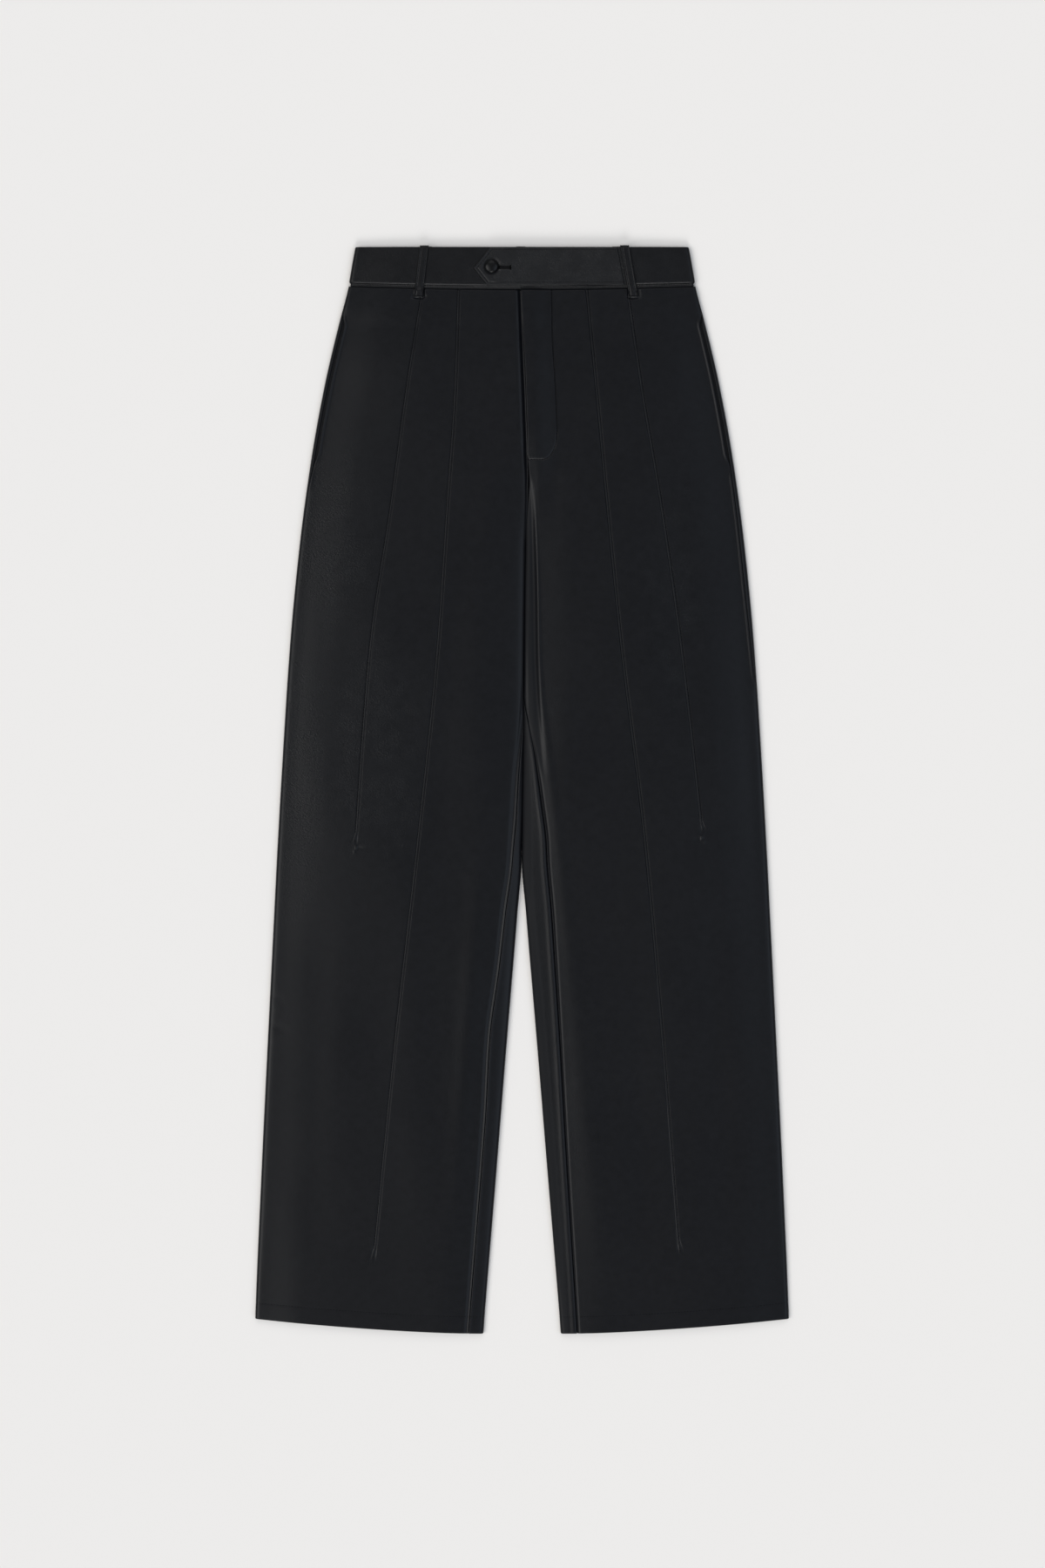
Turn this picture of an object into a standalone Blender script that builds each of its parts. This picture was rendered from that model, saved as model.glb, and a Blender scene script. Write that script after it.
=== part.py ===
"""High-waisted wide-leg trousers in black faux leather, laid flat with the front up.

The frame is in metres with +Z up, the floor at z = 0, the waist towards +Y and the wearer's
left at +X. Sizes below are in millimetres. "down" is the distance below the top of the
waistband, and "across" the distance out from the middle of the garment, on either leg.

Each leg is a flattened tube. Its cloth turns over at an outer and an inner fold, and the
front and back panels meet at a side seam and an inseam that both lie on the upper side.
An arc along the cloth is counted from a fold's tip: above zero on the upper side of the
fold and below zero on its underside.
"""

import math
from collections import namedtuple

import bmesh
import bpy
from mathutils import Vector

MM = 0.001

# Cloth
WALL = 1.3
BAND_WALL = 2.0
BAND_PROUD = 0.4
TAB_WALL = 2.0
LOOP_WALL = 1.6
BACK_LOOP_WALL = 1.4
FACING_WALL = 0.8
HEM_EXTRA_WALL = 0.4
SEAM_GAP = 0.3

# How the cloth lies
FOLD_HEIGHT = 5.2
FOLD_DEPTH = 3.4
LOFT = 6.4
SOFT = 45.0
QUARTER = math.pi / 2 * math.hypot(FOLD_DEPTH, FOLD_HEIGHT / 2) / math.sqrt(2)
WAIST_LIFT = 2.2
WAIST_LIFT_END = 45.0
WAIST_LIFT_FADE = 40.0

# Waistband
BAND_TOP = 0.5
BAND_HEIGHT = 39.6
WAIST_DIP = 3.3
WAIST_DIP_FADE = 100.0
BAND_ROWS = (BAND_TOP, 4.0, 20.0, 36.0, BAND_HEIGHT)

# Crotch and hem
CROTCH = 300.0
CROTCH_RUN = 60.0
LEGS_PART = 617.0
HEM_OUTER = 1083.5
HEM_DROP = 15.0
HEM_CURVE = 1.6
HEM_FOLD = 1065.0

# Fly
FLY_END = 212.0
FLY_LIFT = 1.7
FLY_LIFT_END = 218.0
FLY_LIFT_FADE = 20.0
FLY_LIFT_START = 7.0
FLY_LIFT_ACROSS = 25.0
UNDERLAP = 5.0
UNDERLAP_END = 198.0

# Pintucks: a narrow fold whose edge faces the middle
TUCK_HEIGHT = 1.0
TUCK_FADE = 25.0
TUCK_START = 56.0

# Pocket mouths
MOUTH_TOP = 66.0
MOUTH_BOTTOM = 224.0
MOUTH_TAPER = 16.0
MOUTH_SLIT = 2.2
FACING_TOP = 70.0
FACING_BOTTOM = 228.0

# Buttoned tab, with the points of its left edge
TAB_TOP = 1.0
TAB_BOTTOM = 39.3
Corner = namedtuple("Corner", "down x")
TAB_EDGE = (
    Corner(TAB_TOP, -28.6),
    Corner(2.6, -33.0),
    Corner(12.0, -40.7),
    Corner(22.0, -48.8),
    Corner(31.0, -41.8),
    Corner(TAB_BOTTOM, -35.2),
)
TAB_END_TOP = 102.0
TAB_END_BOTTOM = 109.0
TAB_END_THIN = 0.8
TAB_END_RUN = 3.5
TAB_STEPS = 7

# Button
BUTTON_ACROSS = -30.9
BUTTON_DOWN = 20.9
BUTTON_RADIUS = 7.0
BUTTON_HEIGHT = 3.9
BUTTON_SEGMENTS = 28

# Belt loops
LOOP_WIDTH = 9.2
LOOP_RISE = 0.9
LOOP_LENGTH = 51.5
LOOP_STAND = 0.5
LOOP_FOOT = 7.0
BACK_LOOP_ACROSS = 96.0

Level = namedtuple("Level", "down half_width half_gap middle")
LEVELS = (
    Level(0, 168.0, 0.15, -1.3),
    Level(40, 175.2, 0.15, -1.3),
    Level(80, 185.7, 0.15, 0.8),
    Level(140, 199.7, 0.15, 3.7),
    Level(215, 213.3, 0.15, 5.7),
    Level(CROTCH, 224.8, 0.15, 3.4),
    Level(400, 234.5, 0.15, 1.9),
    Level(520, 242.4, 0.15, 0.7),
    Level(LEGS_PART, 247.9, 0.15, -0.4),
    Level(675, 250.8, 4.4, -0.3),
    Level(807, 257.4, 15.4, -0.2),
    Level(940, 263.8, 26.2, -0.1),
    Level(1083, 269.8, 38.0, 0.0),
    Level(1100, 270.2, 39.3, 0.0),
)

# How far in from a fold's tip each seam lies on the upper side
Seam = namedtuple("Seam", "down inward")
LEFT_SIDE_SEAM = (
    Seam(40, 0.3),
    Seam(66, 0.8),
    Seam(80, 3.5),
    Seam(215, 3.8),
    Seam(335, 4.6),
    Seam(381, 4.0),
    Seam(430, 2.6),
    Seam(455, 0.3),
    Seam(1100, 0.3),
)
RIGHT_SIDE_SEAM = (
    Seam(40, 0.3),
    Seam(66, 0.8),
    Seam(80, 3.5),
    Seam(215, 3.5),
    Seam(240, 2.0),
    Seam(265, 0.3),
    Seam(1100, 0.3),
)
LEFT_INSEAM = (
    Seam(CROTCH, 0.0),
    Seam(450, 0.4),
    Seam(480, 3.4),
    Seam(517, 12.2),
    Seam(560, 19.2),
    Seam(605, 25.0),
    Seam(650, 26.3),
    Seam(737, 25.0),
    Seam(912, 20.7),
    Seam(1100, 16.7),
)
RIGHT_INSEAM = (
    Seam(CROTCH, 0.0),
    Seam(400, 0.4),
    Seam(455, 0.9),
    Seam(536, 6.0),
    Seam(604, 8.3),
    Seam(667, 11.9),
    Seam(728, 14.0),
    Seam(799, 17.6),
    Seam(889, 15.4),
    Seam(1100, 15.0),
)

# Where each pintuck's folded edge runs, to its end
Tuck = namedtuple("Tuck", "down across")
LEFT_INNER_TUCK = (
    Tuck(40, 65.0),
    Tuck(140, 74.7),
    Tuck(260, 86.0),
    Tuck(400, 100.0),
    Tuck(600, 124.0),
    Tuck(800, 141.8),
    Tuck(1022, 158.8),
)
LEFT_OUTER_TUCK = (
    Tuck(40, 106.0),
    Tuck(140, 120.3),
    Tuck(260, 140.3),
    Tuck(400, 160.2),
    Tuck(500, 171.9),
    Tuck(597, 182.2),
)
RIGHT_INNER_TUCK = (
    Tuck(40, 63.8),
    Tuck(140, 67.0),
    Tuck(260, 75.0),
    Tuck(400, 84.5),
    Tuck(600, 104.8),
    Tuck(800, 127.5),
    Tuck(1029, 150.0),
)
RIGHT_OUTER_TUCK = (
    Tuck(40, 99.5),
    Tuck(140, 115.5),
    Tuck(260, 131.7),
    Tuck(400, 152.4),
    Tuck(500, 160.8),
    Tuck(608, 168.1),
)

# Rows of points along a leg, from the waist seam to the hem
ROWS = (
    BAND_HEIGHT + SEAM_GAP,
    46.0,
    54.0,
    FACING_TOP,
    80.0,
    96.0,
    120.0,
    147.0,
    174.0,
    UNDERLAP_END,
    FLY_END,
    FLY_LIFT_END,
    FACING_BOTTOM,
    240.0,
    258.0,
    276.0,
    289.0,
    CROTCH,
    308.0,
    320.0,
    340.0,
    375.0,
    415.0,
    450.0,
    465.0,
    480.0,
    498.0,
    517.0,
    538.0,
    560.0,
    600.0,
    LEGS_PART,
    640.0,
    690.0,
    760.0,
    830.0,
    910.0,
    990.0,
    1030.0,
    HEM_FOLD,
    HEM_FOLD + 1.0,
    HEM_OUTER,
)

Leg = namedtuple("Leg", "name sign side_seam inseam inner_tuck outer_tuck")
Column = namedtuple("Column", "kind place rise shift inside")
OUTER, INNER, ABOVE, BELOW = "outer fold", "inner fold", "upper side", "underside"

# Distances from a seam at which a panel has points, so that a fold there stays round
EDGE_STEPS = (0.0, 1.6, 3.6, 7.0, 16.0)
TUCK_STEPS = ((-0.7, 0.0), (0.0, 1.0), (1.6, 0.9), (2.4, 0.3), (9.0, 0.0))
INNER_TURN = (14.0, QUARTER, QUARTER / 2, 0.0, -QUARTER / 2, -QUARTER, -10.0)
INNER_TURN_STEP = 3.0
OUTER_TURN = (-10.0, -QUARTER, -QUARTER / 2, 0.0, QUARTER / 2)
OUTER_TURN_STEP = 0.6
FACING_STEPS = (-1.2, 0.5, 2.4, 5.0, 8.0)
BAND_PLACES = (0.0, 50.0, 100.0)
BAND_TURN = (-30.0, -10.0, -QUARTER, -QUARTER / 2, 0.0, QUARTER / 2, QUARTER, 8.0, 16.0, 30.0)
PROBE = 0.05


def smoothstep(value):
    value = min(max(value, 0.0), 1.0)
    return value * value * (3 - 2 * value)


def smooth_curve(rows):
    """A curve through (down, value) rows that never swings past them."""
    downs = [row[0] for row in rows]
    values = [row[1] for row in rows]
    slopes = [
        (values[i + 1] - values[i]) / (downs[i + 1] - downs[i])
        for i in range(len(rows) - 1)
    ]
    tangents = [slopes[0]]
    for before, after in zip(slopes, slopes[1:]):
        same_way = before * after > 0
        tangents.append(2 * before * after / (before + after) if same_way else 0.0)
    tangents.append(slopes[-1])

    def value_at(down):
        if down <= downs[0]:
            return values[0]
        if down >= downs[-1]:
            return values[-1]
        i = max(k for k in range(len(slopes)) if downs[k] <= down)
        run = downs[i + 1] - downs[i]
        u = (down - downs[i]) / run
        return (
            values[i] * (1 + 2 * u) * (1 - u) ** 2
            + values[i + 1] * u * u * (3 - 2 * u)
            + run * u * (1 - u) * (tangents[i] * (1 - u) - tangents[i + 1] * u)
        )

    return value_at


half_width = smooth_curve([(row.down, row.half_width) for row in LEVELS])
half_gap = smooth_curve([(row.down, row.half_gap) for row in LEVELS])
middle = smooth_curve([(row.down, row.middle) for row in LEVELS])

LEFT = Leg(
    "left",
    1,
    smooth_curve(LEFT_SIDE_SEAM),
    smooth_curve(LEFT_INSEAM),
    LEFT_INNER_TUCK,
    LEFT_OUTER_TUCK,
)
RIGHT = Leg(
    "right",
    -1,
    smooth_curve(RIGHT_SIDE_SEAM),
    smooth_curve(RIGHT_INSEAM),
    RIGHT_INNER_TUCK,
    RIGHT_OUTER_TUCK,
)


def fold_depth(arc):
    """How far in from a fold's tip the cloth is, at an arc along it."""
    if arc < QUARTER:
        return FOLD_DEPTH * (1 - math.cos(arc / QUARTER * math.pi / 2))
    return FOLD_DEPTH + arc - QUARTER


def fold_arc(depth):
    """The arc from a fold's tip to where the cloth is that far in."""
    if depth < FOLD_DEPTH:
        return QUARTER * math.acos(1 - depth / FOLD_DEPTH) / (math.pi / 2)
    return QUARTER + depth - FOLD_DEPTH


def fold_turn(depth):
    """Half of the fold's own height, as it closes towards its tip."""
    rest = 1 - min(depth, FOLD_DEPTH) / FOLD_DEPTH
    return FOLD_HEIGHT / 2 * math.sqrt(max(0.0, 1 - rest * rest))


def height_above(depth):
    swell = (LOFT - FOLD_HEIGHT) * smoothstep((depth - FOLD_DEPTH) / SOFT)
    return FOLD_HEIGHT / 2 + fold_turn(depth) + swell


def height_below(depth):
    return FOLD_HEIGHT / 2 - fold_turn(depth)


def waist_lift(down):
    """The belt loops at the back lie under the waistband and hold it off the floor."""
    return WAIST_LIFT * (1 - smoothstep((down - WAIST_LIFT_END) / WAIST_LIFT_FADE))


def recess(down):
    """How far past the middle the inner fold's tip would be, above the crotch."""
    runs = max(0.0, (CROTCH - down) / CROTCH_RUN)
    return FOLD_DEPTH * min(runs, 1.0) + SOFT * max(runs - 1.0, 0.0)


def inner_edge(leg, down):
    return leg.sign * middle(down) + half_gap(down)


def surface_point(leg, down, kind, place):
    """A point of the outside of a leg, by the arc along a fold or by the distance across."""
    if kind == OUTER:
        across = half_width(down) - fold_depth(abs(place))
    elif kind == INNER:
        across = inner_edge(leg, down) - recess(down) + fold_depth(abs(place))
    else:
        across = place
    from_outer = max(0.0, half_width(down) - across)
    from_inner = max(0.0, across - inner_edge(leg, down) + recess(down))
    if kind == ABOVE or (kind in (OUTER, INNER) and place >= 0):
        height = height_above(from_outer) + height_above(from_inner) - LOFT
    else:
        height = height_below(from_outer) + height_below(from_inner)
    return Vector((leg.sign * across, -down, waist_lift(down) + height))


def surface_normal(leg, down, kind, place):
    along = surface_point(leg, down, kind, place + PROBE)
    along -= surface_point(leg, down, kind, place - PROBE)
    lengthwise = surface_point(leg, down + PROBE, kind, place)
    lengthwise -= surface_point(leg, down - PROBE, kind, place)
    facing = leg.sign if kind in (OUTER, BELOW) else -leg.sign
    return facing * along.cross(lengthwise).normalized()


def waist_bend(down, across):
    """The waist seam dips towards the middle, and the rows below it less and less."""
    if down < BAND_HEIGHT:
        share = down / BAND_HEIGHT
    else:
        share = 1 - smoothstep((down - BAND_HEIGHT) / WAIST_DIP_FADE)
    return share * WAIST_DIP * (1 - (across / half_width(down)) ** 2)


def hem_bend(leg, down, across):
    """The hem is square to the slanting leg, and so are the rows above it, less and less."""
    share = max(0.0, (down - LEGS_PART) / (HEM_OUTER - LEGS_PART))
    width = half_width(down) - inner_edge(leg, down)
    rest = min(max(1 - (half_width(down) - across) / width, 0.0), 1.0)
    return share * HEM_DROP * (1 - rest**HEM_CURVE)


def row_down(leg, down, kind, place):
    across = leg.sign * surface_point(leg, down, kind, place(down)).x
    return down + waist_bend(down, across) + hem_bend(leg, down, across)


def plain(down):
    return 0.0


def column(kind, place, rise=plain, shift=plain, inside=True):
    return Column(kind, place, rise, shift, inside)


def closed_wall(name, outside, inside, kept):
    """One closed body between two grids. The inner grid has only the kept columns."""
    mesh = bmesh.new()
    out = [[mesh.verts.new(point * MM) for point in row] for row in outside]
    back = [[mesh.verts.new(point * MM) for point in row] for row in inside]
    for r in range(len(out) - 1):
        for c in range(len(out[0]) - 1):
            mesh.faces.new((out[r][c], out[r][c + 1], out[r + 1][c + 1], out[r + 1][c]))
        for k in range(len(kept) - 1):
            mesh.faces.new((back[r][k], back[r + 1][k], back[r + 1][k + 1], back[r][k + 1]))
        mesh.faces.new((out[r][0], out[r + 1][0], back[r + 1][0], back[r][0]))
        mesh.faces.new((out[r][-1], back[r][-1], back[r + 1][-1], out[r + 1][-1]))
    for r in (0, -1):
        for k in range(len(kept) - 1):
            edge = out[r][kept[k] : kept[k + 1] + 1]
            mesh.faces.new(edge + [back[r][k + 1], back[r][k]])
    bmesh.ops.recalc_face_normals(mesh, faces=mesh.faces)
    return mesh_object(name, mesh)


def mesh_object(name, mesh):
    data = bpy.data.meshes.new(name)
    mesh.to_mesh(data)
    mesh.free()
    data.shade_smooth()
    obj = bpy.data.objects.new(name, data)
    bpy.context.scene.collection.objects.link(obj)
    return obj


def cloth_wall(name, leg, rows, columns, proud=0.0, wall=WALL):
    outside, inside = [], []
    for row in rows:
        thickness = wall + (HEM_EXTRA_WALL if row > HEM_FOLD else 0.0)
        outer_row, inner_row = [], []
        for item in columns:
            down = row_down(leg, row, item.kind, item.place)
            place = item.place(down)
            base = surface_point(leg, down, item.kind, place)
            normal = surface_normal(leg, down, item.kind, place)
            level = proud + item.shift(down)
            outer_row.append(base + normal * (level + item.rise(down)))
            if item.inside:
                inner_row.append(base + normal * (level - thickness))
        outside.append(outer_row)
        inside.append(inner_row)
    kept = [i for i, item in enumerate(columns) if item.inside]
    return closed_wall(name, outside, inside, kept)


# Seams, as arcs from the tips of the folds


def front_inner_arc(leg, down):
    """The front's inner edge: the fly line above the crotch and the inseam below it."""
    if down < CROTCH:
        under = 0.0
        if leg is RIGHT and down < FLY_END:
            run = (down - UNDERLAP_END) / (FLY_END - UNDERLAP_END)
            under = (UNDERLAP + SEAM_GAP / 2) * (1 - smoothstep(run))
        return fold_arc(max(0.0, recess(down) - under))
    return fold_arc(leg.inseam(down)) + SEAM_GAP / 2


def back_inner_arc(leg, down):
    """The back's inner edge: the centre seam on the underside, then the inseam."""
    if down < CROTCH:
        return -fold_arc(recess(down))
    return fold_arc(leg.inseam(down)) - SEAM_GAP / 2


def side_arc(leg, down):
    return fold_arc(leg.side_seam(down))


def mouth_slit(down):
    opens = smoothstep((down - MOUTH_TOP) / MOUTH_TAPER)
    closes = smoothstep((MOUTH_BOTTOM - down) / MOUTH_TAPER)
    return MOUTH_SLIT * opens * closes


def front_outer_arc(leg, down):
    return side_arc(leg, down) + SEAM_GAP / 2 + mouth_slit(down)


def tuck_across(path, down):
    """Past its end, a tuck's line of points keeps its distance from the side."""
    end = path[-1]
    if down <= end.down:
        return smooth_curve(path)(down)
    return end.across + half_width(down) - half_width(end.down)


def tuck_share(path, down, start):
    grown = smoothstep((down - start) / (TUCK_FADE / 2) + 1)
    return grown * smoothstep((path[-1].down - down) / TUCK_FADE)


def fly_lift(leg, down, arc_from_edge):
    if leg is RIGHT:
        return 0.0
    ends = 1 - smoothstep((down - FLY_LIFT_END) / FLY_LIFT_FADE)
    return FLY_LIFT * ends * (1 - smoothstep((arc_from_edge - FLY_LIFT_START) / FLY_LIFT_ACROSS))


def tuck_columns(leg, path, start):
    columns = []
    for offset, share in TUCK_STEPS:
        columns.append(
            column(
                ABOVE,
                lambda down, offset=offset: tuck_across(path, down) + offset,
                rise=lambda down, share=share: (
                    TUCK_HEIGHT * share * tuck_share(path, down, start)
                ),
                inside=offset in (TUCK_STEPS[0][0], TUCK_STEPS[-1][0]),
            )
        )
    return columns


def between(leg, first, second, share):
    """A column on the upper side, a share of the way from one column to another."""

    def place(down):
        ends = [
            leg.sign * surface_point(leg, down, item.kind, item.place(down)).x
            for item in (first, second)
        ]
        return ends[0] + (ends[1] - ends[0]) * share

    return column(ABOVE, place)


def front_columns(leg):
    inner = [
        column(
            INNER,
            lambda down, step=step: front_inner_arc(leg, down) + step,
            shift=lambda down, step=step: fly_lift(leg, down, step),
        )
        for step in EDGE_STEPS
    ]
    outer = [
        column(OUTER, lambda down, step=step: front_outer_arc(leg, down) + step)
        for step in reversed(EDGE_STEPS)
    ]
    inner_tuck = tuck_columns(leg, leg.inner_tuck, -TUCK_START)
    outer_tuck = tuck_columns(leg, leg.outer_tuck, TUCK_START + TUCK_FADE / 2)
    return (
        inner
        + [between(leg, inner[-1], inner_tuck[0], share) for share in (1 / 3, 2 / 3)]
        + inner_tuck
        + [between(leg, inner_tuck[-1], outer_tuck[0], 1 / 2)]
        + outer_tuck
        + [between(leg, outer_tuck[-1], outer[0], 1 / 2)]
        + outer
    )


def back_columns(leg):
    def inner_turn(order, target):
        def place(down):
            edge = back_inner_arc(leg, down)
            return min(target, edge - order * INNER_TURN_STEP)

        return place

    def outer_turn(order, target):
        def place(down):
            return min(target, side_arc(leg, down) - SEAM_GAP / 2 - order * OUTER_TURN_STEP)

        return place

    inner = [column(INNER, lambda down: back_inner_arc(leg, down))]
    for order, target in enumerate(INNER_TURN, start=1):
        inner.append(column(INNER, inner_turn(order, target)))
    outer = []
    for order, target in zip(range(len(OUTER_TURN), 0, -1), OUTER_TURN):
        outer.append(column(OUTER, outer_turn(order, target)))
    outer.append(column(OUTER, lambda down: side_arc(leg, down) - SEAM_GAP / 2))
    flat = [
        between(leg, inner[-1], outer[0], share)._replace(kind=BELOW)
        for share in (1 / 4, 1 / 2, 3 / 4)
    ]
    return inner + flat + outer


def band_columns(leg):
    """Half of the waistband: from the centre back, round the side, to the centre front."""

    def at(across):
        return lambda down: inner_edge(leg, down) + across

    under = [column(BELOW, at(across)) for across in BAND_PLACES]
    side = [column(OUTER, lambda down, arc=arc: arc) for arc in BAND_TURN]
    over = [column(ABOVE, at(across)) for across in reversed(BAND_PLACES)]
    return under + side + over


def facing_columns(leg):
    return [
        column(OUTER, lambda down, step=step: side_arc(leg, down) + step)
        for step in FACING_STEPS
    ]


# The pieces


def band_top_height():
    """The height of the waistband's face where the tab and the loops lie on it."""
    return WAIST_LIFT + LOFT + BAND_PROUD


def waistband_tab():
    """The strap from the wearer's left loop, over the fly, to its pointed end."""
    low = band_top_height() + SEAM_GAP
    outside, inside = [], []
    for down, left in TAB_EDGE:
        slant = (down - TAB_TOP) / (TAB_BOTTOM - TAB_TOP)
        right = TAB_END_TOP + (TAB_END_BOTTOM - TAB_END_TOP) * slant
        full = right - TAB_END_RUN - TAB_END_THIN
        places = [left + (full - left) * step / TAB_STEPS for step in range(TAB_STEPS + 1)]
        tops = [low + TAB_WALL] * len(places)
        places += [right - TAB_END_RUN, right]
        tops += [low + TAB_WALL - TAB_END_THIN] * 2
        outside.append([Vector((x, -down, top)) for x, top in zip(places, tops)])
        inside.append([Vector((x, -down, low)) for x in places])
    obj = closed_wall("waistband_tab", outside, inside, range(len(outside[0])))
    add_bevel(obj, 0.5, 2)
    return obj


def front_loop(name, top_across, bottom_across, stand):
    """A belt loop over the band, its lower end turned under against the front panel."""
    band = band_top_height()
    low = band + stand
    high = low + LOOP_WALL
    seat = band - BAND_PROUD + SEAM_GAP
    heel = LOOP_LENGTH - LOOP_FOOT
    side = (
        (-LOOP_RISE, band - 1.5),
        (-LOOP_RISE, high - 0.5),
        (0.4, high),
        (heel - 6.0, high),
        (heel + 2.0, high - 0.4 * stand),
        (LOOP_LENGTH, high - stand - 0.6),
        (LOOP_LENGTH, seat),
        (heel, seat),
        (heel - 1.0, low),
        (1.2, low),
        (BAND_TOP - SEAM_GAP, low - 0.3),
        (BAND_TOP - SEAM_GAP, band - 1.5),
    )
    return strip(name, side, top_across, bottom_across)


def back_loop(name, across):
    side = (
        (-LOOP_RISE, 0.0),
        (-LOOP_RISE, BACK_LOOP_WALL),
        (LOOP_LENGTH, BACK_LOOP_WALL),
        (LOOP_LENGTH, 0.0),
    )
    return strip(name, side, across, across)


def strip(name, side, top_across, bottom_across):
    """A narrow strap, from its outline seen from the side, leaning as it goes down."""
    mesh = bmesh.new()
    rings = []
    for offset in (-LOOP_WIDTH / 2, LOOP_WIDTH / 2):
        ring = []
        for down, height in side:
            slant = (down + LOOP_RISE) / (LOOP_LENGTH + LOOP_RISE)
            across = top_across + (bottom_across - top_across) * slant + offset
            ring.append(mesh.verts.new(Vector((across, -down, height)) * MM))
        rings.append(ring)
    mesh.faces.new(rings[0])
    mesh.faces.new(rings[1])
    count = len(side)
    for i in range(count):
        j = (i + 1) % count
        mesh.faces.new((rings[0][i], rings[0][j], rings[1][j], rings[1][i]))
    bmesh.ops.recalc_face_normals(mesh, faces=mesh.faces)
    obj = mesh_object(name, mesh)
    add_bevel(obj, 0.25, 1)
    return obj


def covered_button():
    """A domed button covered in the same cloth, turned about its own axis."""
    radius, height = BUTTON_RADIUS, BUTTON_HEIGHT
    profile = (
        (0.0, 0.0),
        (radius * 0.82, 0.0),
        (radius * 0.96, height * 0.18),
        (radius, height * 0.36),
        (radius * 0.94, height * 0.62),
        (radius * 0.76, height * 0.84),
        (radius * 0.42, height * 0.97),
        (0.0, height),
    )
    mesh = bmesh.new()
    points = [mesh.verts.new(Vector((x, 0.0, z)) * MM) for x, z in profile]
    edges = [mesh.edges.new(pair) for pair in zip(points, points[1:])]
    bmesh.ops.spin(
        mesh,
        geom=points + edges,
        axis=(0, 0, 1),
        cent=(0, 0, 0),
        steps=BUTTON_SEGMENTS,
        angle=2 * math.pi,
    )
    bmesh.ops.remove_doubles(mesh, verts=mesh.verts, dist=1e-6)
    bmesh.ops.recalc_face_normals(mesh, faces=mesh.faces)
    obj = mesh_object("button", mesh)
    seat = band_top_height() + SEAM_GAP + TAB_WALL + SEAM_GAP
    obj.location = Vector((BUTTON_ACROSS, -BUTTON_DOWN, seat)) * MM
    return obj


def add_bevel(obj, width, segments):
    bevel = obj.modifiers.new("rounded edges", "BEVEL")
    bevel.width = width * MM
    bevel.segments = segments
    bevel.limit_method = "ANGLE"
    bevel.angle_limit = math.radians(40)


def leather(name, colour, roughness):
    material = bpy.data.materials.new(name)
    material.use_nodes = True
    shader = material.node_tree.nodes["Principled BSDF"]
    shader.inputs["Base Color"].default_value = (*colour, 1.0)
    shader.inputs["Roughness"].default_value = roughness
    shader.inputs["Metallic"].default_value = 0.0
    return material


def legs():
    facing_rows = [row for row in ROWS if FACING_TOP <= row <= FACING_BOTTOM]
    under = -(WALL + SEAM_GAP)
    for leg in (LEFT, RIGHT):
        yield cloth_wall(f"front_{leg.name}", leg, ROWS, front_columns(leg))
        yield cloth_wall(f"back_{leg.name}", leg, ROWS, back_columns(leg))
        yield cloth_wall(
            f"pocket_facing_{leg.name}",
            leg,
            facing_rows,
            facing_columns(leg),
            proud=under,
            wall=FACING_WALL,
        )


def waist():
    for leg in (LEFT, RIGHT):
        yield cloth_wall(
            f"waistband_{leg.name}",
            leg,
            BAND_ROWS,
            band_columns(leg),
            proud=BAND_PROUD,
            wall=BAND_WALL,
        )
    yield waistband_tab()
    yield covered_button()
    over_tab = SEAM_GAP + TAB_WALL - TAB_END_THIN + SEAM_GAP
    yield front_loop("belt_loop_front_left", 103.4, 112.6, over_tab)
    yield front_loop("belt_loop_front_right", -98.6, -104.7, LOOP_STAND)
    yield back_loop("belt_loop_back_left", BACK_LOOP_ACROSS)
    yield back_loop("belt_loop_back_right", -BACK_LOOP_ACROSS)
    yield back_loop("belt_loop_back_centre", middle(0))


def main():
    for obj in list(bpy.data.objects):
        bpy.data.objects.remove(obj)
    body = leather("faux_leather", (0.0125, 0.0132, 0.0150), 0.42)
    trim = leather("faux_leather_trim", (0.0150, 0.0158, 0.0170), 0.38)
    garment = bpy.data.objects.new("trousers", None)
    bpy.context.scene.collection.objects.link(garment)
    length = HEM_OUTER + HEM_DROP
    garment.location = Vector((0.0, (length - LOOP_RISE) / 2, 0.0)) * MM
    for piece in legs():
        piece.data.materials.append(body)
        piece.parent = garment
    for piece in waist():
        piece.data.materials.append(trim)
        piece.parent = garment


main()
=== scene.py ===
"""The looks of high-waisted wide-leg trousers in black faux leather, laid flat with the front up.

Each cut piece is a thin shell of cloth on the form of its solid, with its seams, stitched
pintucks, folds and creases in the mesh. Lengths below are in millimetres. "down" is the
distance below the top of the waistband, and "across" the distance out from the middle.

A leg is a flattened tube, and a place round it is an arc along the cloth: it starts at the
tip of the inner fold, runs over the upper side to the tip of the outer fold, and comes back
underneath.
"""

import math
from collections import namedtuple

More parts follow.
